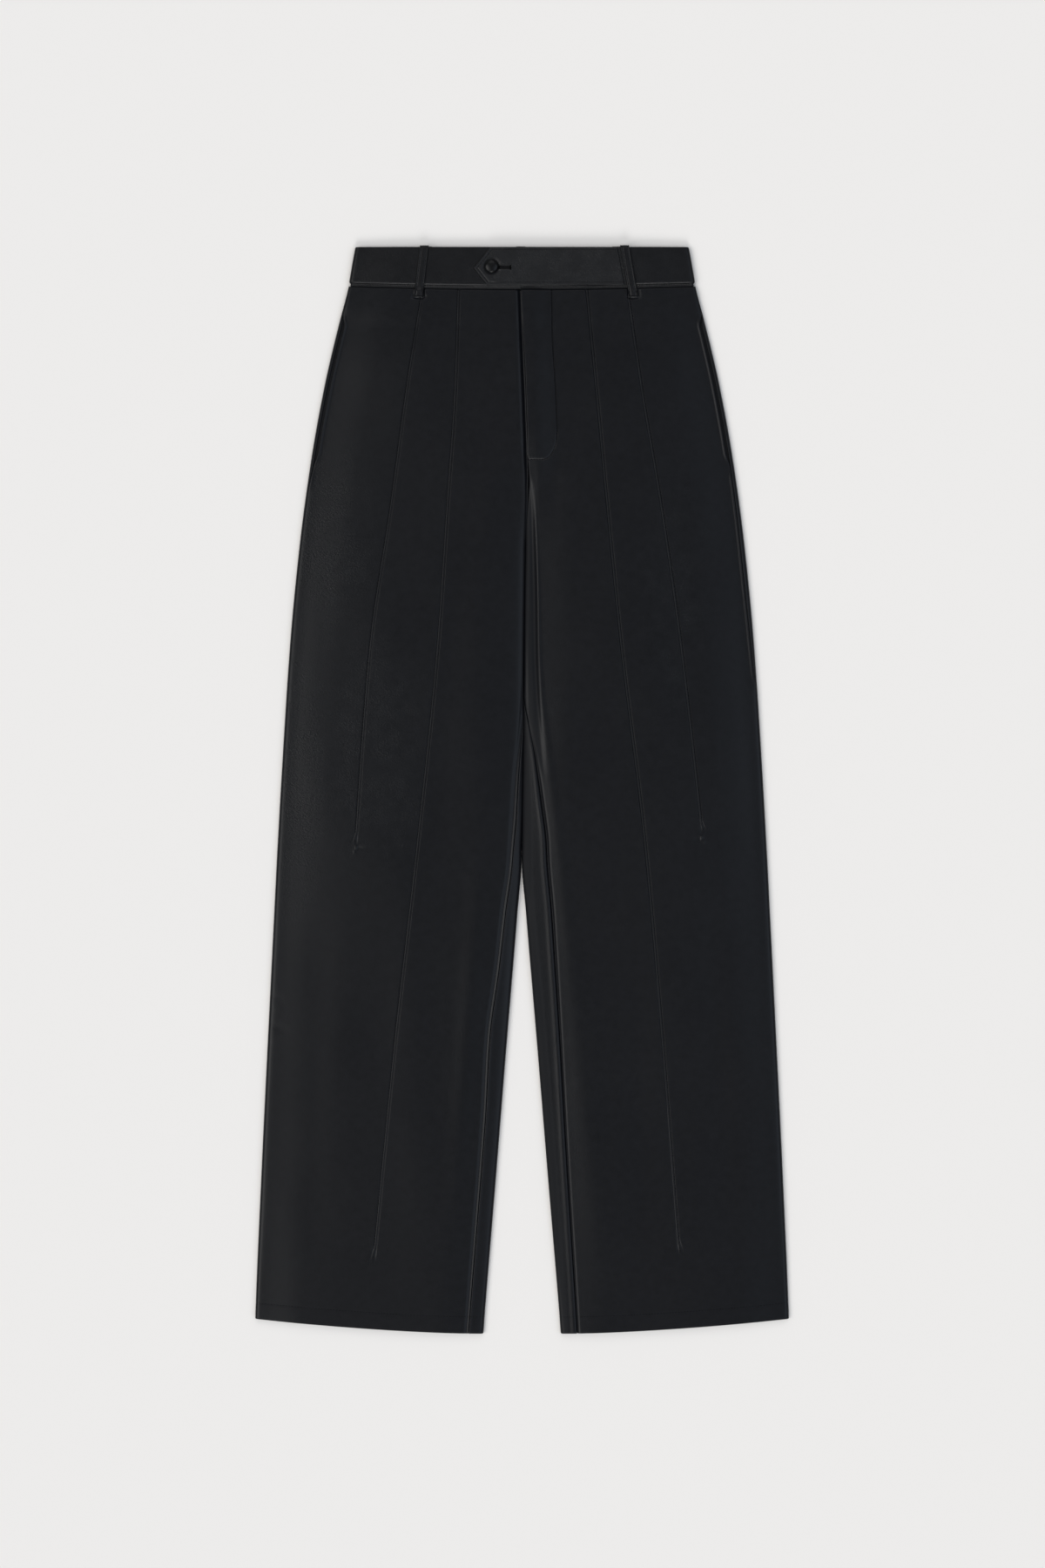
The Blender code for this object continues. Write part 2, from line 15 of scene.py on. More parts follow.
import bmesh
import bpy
import numpy as np
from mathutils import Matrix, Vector

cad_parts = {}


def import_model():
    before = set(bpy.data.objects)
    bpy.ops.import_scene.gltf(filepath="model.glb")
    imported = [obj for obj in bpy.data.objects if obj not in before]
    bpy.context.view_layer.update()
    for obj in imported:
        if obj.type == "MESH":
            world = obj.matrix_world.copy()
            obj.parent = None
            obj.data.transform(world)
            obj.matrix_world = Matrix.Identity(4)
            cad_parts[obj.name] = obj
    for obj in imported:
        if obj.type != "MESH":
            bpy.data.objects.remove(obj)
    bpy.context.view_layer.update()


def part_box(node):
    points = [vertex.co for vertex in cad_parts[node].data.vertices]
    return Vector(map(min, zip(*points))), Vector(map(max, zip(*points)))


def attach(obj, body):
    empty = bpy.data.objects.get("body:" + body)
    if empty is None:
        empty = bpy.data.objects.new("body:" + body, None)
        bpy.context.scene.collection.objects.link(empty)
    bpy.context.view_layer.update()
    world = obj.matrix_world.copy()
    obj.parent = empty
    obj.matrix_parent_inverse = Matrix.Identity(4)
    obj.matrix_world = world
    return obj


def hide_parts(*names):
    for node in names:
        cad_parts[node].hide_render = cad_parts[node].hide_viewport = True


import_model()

MM = 0.001

# Sizes shared with the solids
WALL = 1.3
BAND_WALL = 2.0
BAND_PROUD = 0.4
TAB_WALL = 2.0
LOOP_WALL = 1.6
BACK_LOOP_WALL = 1.4
FACING_WALL = 0.8
SEAM_GAP = 0.3
FOLD_HEIGHT = 5.2
FOLD_DEPTH = 3.4
LOFT = 6.4
SOFT = 45.0
QUARTER = math.pi / 2 * math.hypot(FOLD_DEPTH, FOLD_HEIGHT / 2) / math.sqrt(2)
WAIST_LIFT = 2.2
WAIST_LIFT_END = 45.0
WAIST_LIFT_FADE = 40.0
BAND_TOP = 0.5
BAND_HEIGHT = 39.6
WAIST_DIP = 3.3
WAIST_DIP_FADE = 100.0
CROTCH = 300.0
CROTCH_RUN = 60.0
LEGS_PART = 617.0
HEM_OUTER = 1083.5
HEM_DROP = 15.0
HEM_CURVE = 1.6
FLY_END = 212.0
FLY_LIFT = 1.7
FLY_LIFT_LOW = 213.0
FLY_LIFT_RUN = 95.0
FLY_LIFT_START = 7.0
FLY_LIFT_ACROSS = 25.0
UNDERLAP = 5.0
UNDERLAP_END = 198.0
MOUTH_TOP = 66.0
MOUTH_BOTTOM = 224.0
MOUTH_TAPER = 16.0
MOUTH_SLIT = 2.2
FACING_TOP = 70.0
FACING_BOTTOM = 228.0
BUTTON_ACROSS = -30.9
BUTTON_DOWN = 20.9
BUTTON_RADIUS = 7.0
BUTTON_HEIGHT = 3.9
LOOP_WIDTH = 9.2
LOOP_RISE = 0.9
LOOP_LENGTH = 51.5
LOOP_STAND = 0.5
LOOP_FOOT = 7.0
BACK_LOOP_ACROSS = 96.0

Corner = namedtuple("Corner", "x down")

TOP_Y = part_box("waistband_left")[1].y / MM + BAND_TOP

Level = namedtuple("Level", "down half_width half_gap middle")
LEVELS = (
    Level(0, 168.0, 0.15, -1.3),
    Level(40, 175.2, 0.15, -1.3),
    Level(80, 185.7, 0.15, 0.8),
    Level(140, 199.7, 0.15, 3.7),
    Level(215, 213.3, 0.15, 5.7),
    Level(CROTCH, 224.8, 0.15, 3.4),
    Level(400, 234.5, 0.15, 1.9),
    Level(520, 242.4, 0.15, 0.7),
    Level(LEGS_PART, 247.9, 0.15, -0.4),
    Level(675, 250.8, 4.4, -0.3),
    Level(807, 257.4, 15.4, -0.2),
    Level(940, 263.8, 26.2, -0.1),
    Level(1083, 269.8, 38.0, 0.0),
    Level(1100, 270.2, 39.3, 0.0),
)

# How far in from a fold's tip each seam lies on the upper side
Seam = namedtuple("Seam", "down inward")
LEFT_SIDE_SEAM = (
    Seam(40, 0.3),
    Seam(66, 0.8),
    Seam(80, 3.5),
    Seam(215, 3.8),
    Seam(335, 4.6),
    Seam(381, 4.0),
    Seam(430, 2.6),
    Seam(455, 0.3),
    Seam(1100, 0.3),
)
RIGHT_SIDE_SEAM = (
    Seam(40, 0.3),
    Seam(66, 0.8),
    Seam(80, 3.5),
    Seam(215, 3.5),
    Seam(240, 2.0),
    Seam(265, 0.3),
    Seam(1100, 0.3),
)
LEFT_INSEAM = (
    Seam(CROTCH, 0.0),
    Seam(450, 0.4),
    Seam(480, 3.4),
    Seam(517, 12.2),
    Seam(560, 19.2),
    Seam(605, 25.0),
    Seam(650, 26.3),
    Seam(737, 25.0),
    Seam(912, 20.7),
    Seam(1100, 16.7),
)
RIGHT_INSEAM = (
    Seam(CROTCH, 0.0),
    Seam(400, 0.4),
    Seam(455, 0.9),
    Seam(536, 6.0),
    Seam(604, 8.3),
    Seam(667, 11.9),
    Seam(728, 14.0),
    Seam(799, 17.6),
    Seam(889, 15.4),
    Seam(1100, 15.0),
)

# Where each pintuck's folded edge runs, to its end
Tuck = namedtuple("Tuck", "down across")
LEFT_INNER_TUCK = (
    Tuck(40, 65.0),
    Tuck(140, 74.7),
    Tuck(260, 86.0),
    Tuck(400, 100.0),
    Tuck(600, 124.0),
    Tuck(800, 141.8),
    Tuck(1022, 158.8),
)
LEFT_OUTER_TUCK = (
    Tuck(40, 106.0),
    Tuck(140, 120.3),
    Tuck(260, 140.3),
    Tuck(400, 160.2),
    Tuck(500, 171.9),
    Tuck(597, 182.2),
)
RIGHT_INNER_TUCK = (
    Tuck(40, 63.8),
    Tuck(140, 67.0),
    Tuck(260, 75.0),
    Tuck(400, 84.5),
    Tuck(600, 104.8),
    Tuck(800, 127.5),
    Tuck(1029, 150.0),
)
RIGHT_OUTER_TUCK = (
    Tuck(40, 99.5),
    Tuck(140, 115.5),
    Tuck(260, 131.7),
    Tuck(400, 152.4),
    Tuck(500, 160.8),
    Tuck(608, 168.1),
)


def smoothstep(value):
    value = np.clip(value, 0.0, 1.0)
    return value * value * (3 - 2 * value)


def smooth_curve(rows):
    """A curve through (down, value) rows that never swings past them, for arrays."""
    downs = np.array([row[0] for row in rows], float)
    values = np.array([row[1] for row in rows], float)
    runs = np.diff(downs)
    slopes = np.diff(values) / runs
    tangents = [slopes[0]]
    for before, after in zip(slopes, slopes[1:]):
        same_way = before * after > 0
        tangents.append(2 * before * after / (before + after) if same_way else 0.0)
    tangents = np.array(tangents + [slopes[-1]])

    def value_at(down):
        down = np.clip(down, downs[0], downs[-1])
        i = np.clip(np.searchsorted(downs, down, side="right") - 1, 0, len(runs) - 1)
        run = runs[i]
        u = (down - downs[i]) / run
        return (
            values[i] * (1 + 2 * u) * (1 - u) ** 2
            + values[i + 1] * u * u * (3 - 2 * u)
            + run * u * (1 - u) * (tangents[i] * (1 - u) - tangents[i + 1] * u)
        )

    return value_at


half_width = smooth_curve([(row.down, row.half_width) for row in LEVELS])
half_gap = smooth_curve([(row.down, row.half_gap) for row in LEVELS])
middle = smooth_curve([(row.down, row.middle) for row in LEVELS])

Leg = namedtuple("Leg", "name sign side_seam inseam inner_tuck outer_tuck")
LEFT = Leg(
    "left",
    1,
    smooth_curve(LEFT_SIDE_SEAM),
    smooth_curve(LEFT_INSEAM),
    LEFT_INNER_TUCK,
    LEFT_OUTER_TUCK,
)
RIGHT = Leg(
    "right",
    -1,
    smooth_curve(RIGHT_SIDE_SEAM),
    smooth_curve(RIGHT_INSEAM),
    RIGHT_INNER_TUCK,
    RIGHT_OUTER_TUCK,
)


# The form of a leg, as the solids have it


def fold_depth(arc):
    """How far in from a fold's tip the cloth is, at an arc along it."""
    turned = FOLD_DEPTH * (1 - np.cos(np.minimum(arc / QUARTER, 1) * math.pi / 2))
    return np.where(arc < QUARTER, turned, FOLD_DEPTH + arc - QUARTER)


def fold_arc(depth):
    """The arc from a fold's tip to where the cloth is that far in."""
    share = np.clip(depth / FOLD_DEPTH, 0, 1)
    turned = QUARTER * np.arccos(1 - share) / (math.pi / 2)
    return np.where(depth < FOLD_DEPTH, turned, QUARTER + depth - FOLD_DEPTH)


def fold_turn(depth):
    """Half of the fold's own height, as it closes towards its tip."""
    rest = 1 - np.clip(depth, 0, FOLD_DEPTH) / FOLD_DEPTH
    return FOLD_HEIGHT / 2 * np.sqrt(np.maximum(0.0, 1 - rest * rest))


def height_above(depth):
    swell = (LOFT - FOLD_HEIGHT) * smoothstep((depth - FOLD_DEPTH) / SOFT)
    return FOLD_HEIGHT / 2 + fold_turn(depth) + swell


def height_below(depth):
    return FOLD_HEIGHT / 2 - fold_turn(depth)


def waist_lift(down):
    """The belt loops at the back lie under the waistband and hold it off the floor."""
    return WAIST_LIFT * (1 - smoothstep((down - WAIST_LIFT_END) / WAIST_LIFT_FADE))


def recess(down):
    """How far past the middle the inner fold's tip would be, above the crotch."""
    runs = np.maximum(0.0, (CROTCH - down) / CROTCH_RUN)
    return FOLD_DEPTH * np.minimum(runs, 1.0) + SOFT * np.maximum(runs - 1.0, 0.0)


def inner_edge(leg, down):
    return leg.sign * middle(down) + half_gap(down)


def inner_tip(leg, down):
    return inner_edge(leg, down) - recess(down)


def side_length(leg, down):
    """The length of cloth over the upper side, from one fold's tip to the other's."""
    return half_width(down) - inner_tip(leg, down) + 2 * (QUARTER - FOLD_DEPTH)


def across_at(leg, down, arc):
    length = side_length(leg, down)
    turn = np.mod(arc, 2 * length)
    inward = np.where(turn <= length, turn, 2 * length - turn)
    near_inner = inner_tip(leg, down) + fold_depth(inward)
    near_outer = half_width(down) - fold_depth(length - inward)
    return np.where(inward < length / 2, near_inner, near_outer)


def is_upper(leg, down, arc):
    length = side_length(leg, down)
    return np.mod(arc, 2 * length) <= length


def depths(leg, down, across):
    """How far in a place is from the tips of the outer and the inner fold."""
    from_outer = np.maximum(0.0, half_width(down) - across)
    return from_outer, np.maximum(0.0, across - inner_tip(leg, down))


def upper_height(leg, down, across):
    """The height of the upper side of a solid leg."""
    from_outer, from_inner = depths(leg, down, across)
    return waist_lift(down) + height_above(from_outer) + height_above(from_inner) - LOFT


def loop_point(leg, down, arc):
    """A point of the outside of a solid leg, by the arc round it."""
    across = across_at(leg, down, arc)
    from_outer, from_inner = depths(leg, down, across)
    low = waist_lift(down) + height_below(from_outer) + height_below(from_inner)
    high = upper_height(leg, down, across)
    height = np.where(is_upper(leg, down, arc), high, low)
    return np.stack(np.broadcast_arrays(leg.sign * across, -down, height), axis=-1)


# Half of the short step over which a normal is measured
PROBE = 0.05


def loop_normal(leg, down, arc):
    along = loop_point(leg, down, arc + PROBE) - loop_point(leg, down, arc - PROBE)
    lengthwise = loop_point(leg, down + PROBE, arc) - loop_point(leg, down - PROBE, arc)
    normal = -leg.sign * np.cross(along, lengthwise)
    return normal / np.linalg.norm(normal, axis=-1, keepdims=True)


def waist_bend(down, across):
    """The waist seam dips towards the middle, and the rows below it less and less."""
    below = 1 - smoothstep((down - BAND_HEIGHT) / WAIST_DIP_FADE)
    share = np.where(down < BAND_HEIGHT, down / BAND_HEIGHT, below)
    return share * WAIST_DIP * (1 - (across / half_width(down)) ** 2)


def hem_bend(leg, down, across):
    """The hem is square to the slanting leg, and so are the rows above it, less and less."""
    share = np.maximum(0.0, (down - LEGS_PART) / (HEM_OUTER - LEGS_PART))
    width = half_width(down) - inner_edge(leg, down)
    rest = np.clip(1 - (half_width(down) - across) / width, 0.0, 1.0)
    return share * HEM_DROP * (1 - rest**HEM_CURVE)


def bent_row(leg, row, across):
    return row + waist_bend(row, across) + hem_bend(leg, row, across)


# Where the seams are, as arcs


def front_inner_arc(leg, down):
    """The front's inner edge: the fly line above the crotch and the inseam below it."""
    under = 0.0
    if leg is RIGHT:
        run = (down - UNDERLAP_END) / (FLY_END - UNDERLAP_END)
        under = (UNDERLAP + SEAM_GAP / 2) * (1 - smoothstep(run))
    fly = fold_arc(np.maximum(0.0, recess(down) - under))
    return np.where(down < CROTCH, fly, fold_arc(leg.inseam(down)) + SEAM_GAP / 2)


def back_inner_arc(leg, down):
    """The back's inner edge: the centre seam on the underside, then the inseam."""
    inseam = fold_arc(leg.inseam(down)) - SEAM_GAP / 2
    return np.where(down < CROTCH, -fold_arc(recess(down)), inseam)


def side_arc(leg, down):
    return fold_arc(leg.side_seam(down))


def mouth_share(down):
    opens = smoothstep((down - MOUTH_TOP) / MOUTH_TAPER)
    return opens * smoothstep((MOUTH_BOTTOM - down) / MOUTH_TAPER)


def front_outer_arc(leg, down):
    inward = side_arc(leg, down) + SEAM_GAP / 2 + MOUTH_SLIT * mouth_share(down)
    return side_length(leg, down) - inward


def tuck_across(path, down):
    """Past its end, a tuck's line of points keeps its distance from the side."""
    end = path[-1]
    beyond = end.across + half_width(down) - half_width(end.down)
    return np.where(down <= end.down, smooth_curve(path)(down), beyond)


# How the soft cloth lies on that form. It carries both faces of the shell with it.

Loft = namedtuple("Loft", "inward height")
EDGE_LOFT = (
    Loft(0, 0.0),
    Loft(1, 0.55),
    Loft(2, 0.95),
    Loft(3.5, 1.3),
    Loft(5.5, 1.5),
    Loft(9, 1.6),
)
BROAD_LOFT = (
    Loft(0, 0.0),
    Loft(9, 0.1),
    Loft(20, 0.55),
    Loft(35, 1.2),
    Loft(55, 2.0),
    Loft(80, 2.65),
    Loft(110, 2.95),
    Loft(150, 3.0),
)
LOFT_TOP = 43.0
EDGE_TOP_RUN = 30.0
BROAD_TOP_RUN = 80.0
BROAD_LOW = 600.0
BROAD_LOW_RUN = 260.0
BROAD_LOW_LOSS = 0.85
EDGE_LOW = 960.0
EDGE_LOW_RUN = 110.0
EDGE_LOW_LOSS = 0.5
INNER_RUN = 4.0
INNER_SHORT_RUN = 2.2
INNER_LONG_RUN = 45.0
INNER_LONG_SHARE = 0.25
SOFT_RUN = 42.0
SOFT_TOP = 48.0
SOFT_TOP_RUN = 70.0

Crease = namedtuple("Crease", "across down to_across to_down height width")
SOFT_CREASES = (
    Crease(-60, 300, -84, 560, -0.4, 16),
    Crease(-212, 250, -224, 520, 0.5, 14),
    Crease(-120, 640, -105, 1000, 0.35, 20),
    Crease(-205, 620, -214, 960, -0.4, 16),
    Crease(-45, 640, -66, 960, 0.5, 10),
    Crease(60, 700, 78, 1010, 0.3, 14),
    Crease(150, 300, 178, 560, -0.4, 18),
    Crease(214, 330, 230, 640, 0.45, 12),
    Crease(196, 700, 208, 1020, -0.4, 18),
    Crease(118, 760, 122, 1030, -0.35, 15),
)
EDGE_CREASES = (
    Crease(-264, 752, -243, 761, -0.3, 2.4),
    Crease(-264, 767, -251, 772, -0.35, 1.9),
    Crease(-264, 781, -239, 792, -0.28, 2.6),
    Crease(-264, 803, -254, 806, -0.25, 1.8),
    Crease(-27, 751, -36, 756, -0.35, 1.6),
    Crease(-27, 760, -40, 767, -0.3, 1.9),
    Crease(-30, 775, -38, 779, -0.35, 1.6),
    Crease(-32, 789, -47, 796, -0.25, 2.3),
    Crease(34, 806, 47, 800, -0.25, 2.2),
    Crease(37, 850, 52, 844, -0.2, 2.4),
    Crease(268, 905, 252, 899, -0.25, 2.4),
    Crease(266, 862, 255, 859, -0.2, 2.0),
)

# Long folds that follow the legs: where each lies, how high it is and how wide
Fold = namedtuple("Fold", "down across height width")
LEFT_THIGH_RIDGE = (
    Fold(235, 8.0, 0.0, 1.8),
    Fold(306, 14.2, 0.3, 1.8),
    Fold(357, 16.1, 0.5, 1.8),
    Fold(411, 17.2, 0.5, 1.9),
    Fold(455, 19.6, 0.4, 2.4),
    Fold(500, 24.0, 0.35, 4.5),
    Fold(545, 29.0, 0.35, 6.0),
    Fold(631, 39.2, 0.35, 7.5),
    Fold(772, 52.0, 0.3, 10.0),
    Fold(1000, 66.0, 0.1, 14.0),
)
LEFT_VALLEY = (
    Fold(232, 5.0, 0.0, 1.6),
    Fold(260, 6.4, -0.7, 2.0),
    Fold(285, 8.2, -1.1, 2.5),
    Fold(306, 9.6, -1.2, 3.0),
    Fold(357, 11.6, -1.4, 3.2),
    Fold(411, 12.6, -1.4, 3.3),
    Fold(455, 14.6, -1.0, 3.4),
    Fold(500, 19.0, -0.4, 3.6),
    Fold(540, 23.0, 0.0, 4.0),
)
RIGHT_FLY_TROUGH = (
    Fold(30, 2.4, -2.4, 2.4),
    Fold(107, -0.9, -3.2, 2.6),
    Fold(161, -3.1, -3.3, 2.6),
    Fold(215, -4.5, -3.0, 2.4),
    Fold(250, -3.8, -2.2, 2.0),
    Fold(314, -2.3, -1.2, 1.5),
    Fold(380, -1.6, 0.0, 1.5),
)

# The wall that rises from the thigh's valley to the ridge: its foot is width nearer the fly
LEFT_THIGH_WALL = (
    Fold(228, 6.0, 0.0, 1.6),
    Fold(250, 8.0, -0.5, 1.8),
    Fold(275, 10.6, -0.9, 2.0),
    Fold(306, 12.4, -1.2, 2.2),
    Fold(357, 14.3, -1.5, 2.2),
    Fold(411, 15.4, -1.5, 2.2),
    Fold(455, 17.8, -1.1, 2.6),
    Fold(500, 22.0, -0.4, 3.2),
    Fold(540, 26.0, 0.0, 4.0),
)

# The inseam's valley and the roll beside it, by the distance from the seam towards the side
LEFT_INSEAM_VALLEY = (
    Fold(480, 0.6, 0.0, 1.4),
    Fold(520, 0.6, -1.3, 1.5),
    Fold(560, 0.6, -1.7, 1.6),
    Fold(700, 0.6, -1.6, 1.5),
    Fold(830, 0.5, -1.2, 1.3),
    Fold(1083, 0.5, -1.0, 1.2),
)
LEFT_INSEAM_ROLL = (
    Fold(480, -3.2, 0.0, 1.8),
    Fold(540, -3.3, 0.35, 1.8),
    Fold(700, -3.6, 0.4, 2.2),
    Fold(1083, -3.6, 0.25, 2.4),
)
RIGHT_INSEAM_VALLEY = (
    Fold(440, 2.6, 0.0, 1.6),
    Fold(500, 2.6, -0.8, 1.7),
    Fold(640, 2.8, -1.0, 1.9),
    Fold(760, 2.6, -0.9, 1.7),
    Fold(1083, 2.3, -0.6, 1.6),
)
RIGHT_INSEAM_ROLL = (
    Fold(440, -0.9, 0.0, 1.0),
    Fold(500, -0.9, 0.22, 1.0),
    Fold(1083, -1.1, 0.18, 1.2),
)
BACK_CREASES = (
    Crease(-40, 300, -120, 380, 0.5, 9),
    Crease(-46, 330, -150, 352, 0.4, 8),
    Crease(44, 306, 128, 372, 0.5, 9),
    Crease(50, 336, 140, 342, 0.4, 7),
    Crease(-150, 600, -190, 618, 0.4, 7),
    Crease(-130, 640, -206, 652, 0.45, 8),
    Crease(140, 604, 200, 616, 0.4, 7),
    Crease(126, 648, 190, 655, 0.45, 8),
    Crease(-96, 150, -120, 250, 0.35, 12),
    Crease(98, 150, 118, 256, 0.35, 12),
)
Wave = namedtuple("Wave", "along_x along_y phase height")
WAVES = (
    Wave(0.043, 0.011, 0.4, 0.10),
    Wave(-0.027, 0.023, 1.9, 0.12),
    Wave(0.071, -0.008, 3.1, 0.05),
    Wave(0.018, 0.047, 5.2, 0.06),
    Wave(0.093, 0.029, 2.2, 0.025),
    Wave(-0.061, 0.052, 4.4, 0.03),
)


def creases(table, x, down):
    """The sum of soft ridges (height above zero) and troughs along short lines."""
    total = np.zeros(np.broadcast(x, down).shape)
    for crease in table:
        run_x = crease.to_across - crease.across
        run_down = crease.to_down - crease.down
        length = run_x**2 + run_down**2
        along = ((x - crease.across) * run_x + (down - crease.down) * run_down) / length
        kept = np.clip(along, 0, 1)
        off_x = x - crease.across - kept * run_x
        off_down = down - crease.down - kept * run_down
        off = np.hypot(off_x, off_down / (1 + 2 * (crease.width > 10)))
        taper = 0.35 + 0.65 * np.sin(math.pi * np.clip(kept, 0.02, 0.98)) ** 0.8
        total += crease.height * taper * np.exp(-((off / crease.width) ** 2))
    return total


def bell(distance, width):
    return np.exp(-((distance / width) ** 2))


def fold_curves(rows):
    """Where a long fold lies, how high it is and how wide, as curves along the leg."""
    for name in ("across", "height", "width"):
        yield smooth_curve([(row.down, getattr(row, name)) for row in rows])


def fold_form(rows):
    """The form of one long fold, as a function of the distance across and down."""
    across, height, width = fold_curves(rows)
    return lambda at, down: height(down) * bell(at - across(down), width(down))


def wall_form(rows):
    """A step along the leg: low up to its foot, then up to nothing at its top line."""
    top, height, width = fold_curves(rows)

    def form(at, down):
        return height(down) * (1 - smoothstep((at - top(down)) / width(down) + 1))

    return form


LEG_FOLDS = {
    "left": [fold_form(LEFT_THIGH_RIDGE), fold_form(LEFT_VALLEY), wall_form(LEFT_THIGH_WALL)],
    "right": [fold_form(RIGHT_FLY_TROUGH)],
}
INSEAM_FOLDS = {
    "left": [fold_form(LEFT_INSEAM_VALLEY), fold_form(LEFT_INSEAM_ROLL)],
    "right": [fold_form(RIGHT_INSEAM_VALLEY), fold_form(RIGHT_INSEAM_ROLL)],
}


def waves(x, down):
    total = np.zeros(np.broadcast(x, down).shape)
    for wave in WAVES:
        total += wave.height * np.sin(wave.along_x * x + wave.along_y * down + wave.phase)
    return total


def soft_share(leg, down, across):
    """Nothing at the folds' tips, the waist seam and the fly, growing to one away from them."""
    from_outer = half_width(down) - across
    from_inner = across - inner_tip(leg, down)
    share = smoothstep((from_outer - FOLD_DEPTH) / SOFT_RUN)
    share = share * smoothstep((from_inner - FOLD_DEPTH) / SOFT_RUN)
    return share * smoothstep((down - SOFT_TOP) / SOFT_TOP_RUN)


def puff(leg, down, across):
    """The loft of the upper cloth: steep beside the folds, then gentle, then level."""
    from_outer, from_inner = depths(leg, down, across)
    edge = smooth_curve(EDGE_LOFT)(from_outer) * smoothstep((down - LOFT_TOP) / EDGE_TOP_RUN)
    edge = edge * (1 - EDGE_LOW_LOSS * smoothstep((down - EDGE_LOW) / EDGE_LOW_RUN))
    broad = smooth_curve(BROAD_LOFT)(from_outer)
    broad = broad * smoothstep((down - LOFT_TOP) / BROAD_TOP_RUN)
    broad = broad * (1 - BROAD_LOW_LOSS * smoothstep((down - BROAD_LOW) / BROAD_LOW_RUN))
    if leg is LEFT:
        loss = (1 - INNER_LONG_SHARE) * np.exp(-from_inner / INNER_SHORT_RUN)
        loss = loss + INNER_LONG_SHARE * np.exp(-from_inner / INNER_LONG_RUN)
    else:
        loss = np.exp(-from_inner / INNER_RUN)
    return (edge + broad) * (1 - loss)


def upper_lie(leg, down, across):
    """How far the cloth of the upper side stands off the solid's form."""
    x = leg.sign * across
    share = soft_share(leg, down, across)
    folds = creases(SOFT_CREASES, x, down) + waves(x, down)
    lie = share * folds + puff(leg, down, across) + creases(EDGE_CREASES, x, down)
    from_edge = across - inner_edge(leg, down)
    by_tip = smoothstep((across - inner_tip(leg, down)) / 6)
    for form in LEG_FOLDS[leg.name]:
        lie = lie + by_tip * form(across, down)
    for form in INSEAM_FOLDS[leg.name]:
        lie = lie + form(from_edge - leg.inseam(down), down)
    if leg is LEFT:
        ends = 1 - smoothstep((down - FLY_LIFT_LOW) / FLY_LIFT_RUN)
        lift = 1 - smoothstep((from_edge - FLY_LIFT_START) / FLY_LIFT_ACROSS)
        lie = lie + FLY_LIFT * ends * lift
    return lie


def under_lie(leg, down, across):
    """The underside lies on the floor, so its soft creases only rise from it."""
    from_outer = half_width(down) - across
    share = smoothstep((from_outer - FOLD_DEPTH) / 20)
    share = share * smoothstep((across - inner_edge(leg, down)) / 20)
    return -share * np.maximum(0.0, creases(BACK_CREASES, leg.sign * across, down))


# Fine form in the outer face alone: rounded edges, seams and sewn grooves

EDGE_ROUND = 0.7
EDGE_STEPS = (0.0, 0.07, 0.2, 0.42, 0.7, 1.1, 1.7, 2.5, 3.4, 4.4, 5.6, 7.5, 10.5, 15.0)
HEM_STITCH = 1067.0
J_ACROSS = (Tuck(40, 29.7), Tuck(87, 30.4), Tuck(136, 33.2), Tuck(187, 35.4))
J_TURN_DOWN = 187.0
J_TURN_END = 20.9
J_BOTTOM = 215.3
TUCK_FADE = 26.0
INNER_TUCK_TOP = 0.0
OUTER_TUCK_TOP = 56.0
TUCK_STITCH = 1.3
TUCK_LOW = 600.0
TUCK_LOW_RUN = 320.0
TUCK_LOW_LOSS = 0.45
TUCK_STRENGTH = 0.85
OUTER_TUCK_STRENGTH = 0.6

# A pintuck's section: distance out from its folded edge, and its height at full strength
Section = namedtuple("Section", "out height")
TUCK_SECTION = (
    Section(-3.2, 0.0),
    Section(-2.3, 0.0),
    Section(-1.8, 0.0),
    Section(-1.65, -0.12),
    Section(-1.5, -0.85),
    Section(-1.1, -1.05),
    Section(-0.7, -1.0),
    Section(-0.55, -0.5),
    Section(-0.6, -0.05),
    Section(-0.5, 0.12),
    Section(-0.2, 0.18),
    Section(0.3, 0.16),
    Section(0.7, 0.06),
    Section(0.85, -0.12),
    Section(0.98, -0.5),
    Section(1.3, -0.58),
    Section(1.62, -0.5),
    Section(1.75, -0.06),
    Section(2.0, 0.0),
    Section(3.2, 0.0),
    Section(5.0, 0.0),
    Section(8.0, 0.0),
)

# The sewn and pressed grooves. A steeper one has a flatter bottom.
Groove = namedtuple("Groove", "depth width steep")
HEM_GROOVE = Groove(0.14, 0.8, 2)
WAIST_GROOVE = Groove(0.9, 1.25, 4)
FOOT_GROOVE = Groove(0.9, 1.0, 4)
J_GROOVE = Groove(0.6, 0.6, 6)
BAND_GROOVE = Groove(0.6, 0.75, 6)
TAB_GROOVE = Groove(0.4, 0.6, 2)
LOOP_GROOVE = Groove(0.25, 0.4, 2)
HEM_RIDGE = 0.12
HEM_RIDGE_BELOW = 9.0
HEM_RIDGE_WIDTH = 7.0

# The thread's knots at the lower ends of the outer tucks
Knot = namedtuple("Knot", "x down height width")
KNOTS = (
    Knot(-167.6, 607.5, 0.3, 1.1),
    Knot(-165.2, 607.0, -0.4, 1.2),
    Knot(-169.2, 611.0, 0.2, 1.2),
    Knot(181.4, 597.0, 0.3, 1.1),
    Knot(183.6, 602.0, 0.22, 1.0),
    Knot(179.2, 598.5, -0.4, 1.2),
)


def rounded(distance, radius):
    """The drop of a rounded edge, at a distance in from it."""
    left = np.clip(1 - distance / radius, 0.0, 1.0)
    return -radius * (1 - np.sqrt(np.maximum(0.0, 1 - left * left)))


def groove(distance, form):
    return -form.depth * np.exp(-(np.abs(distance / form.width) ** form.steep))


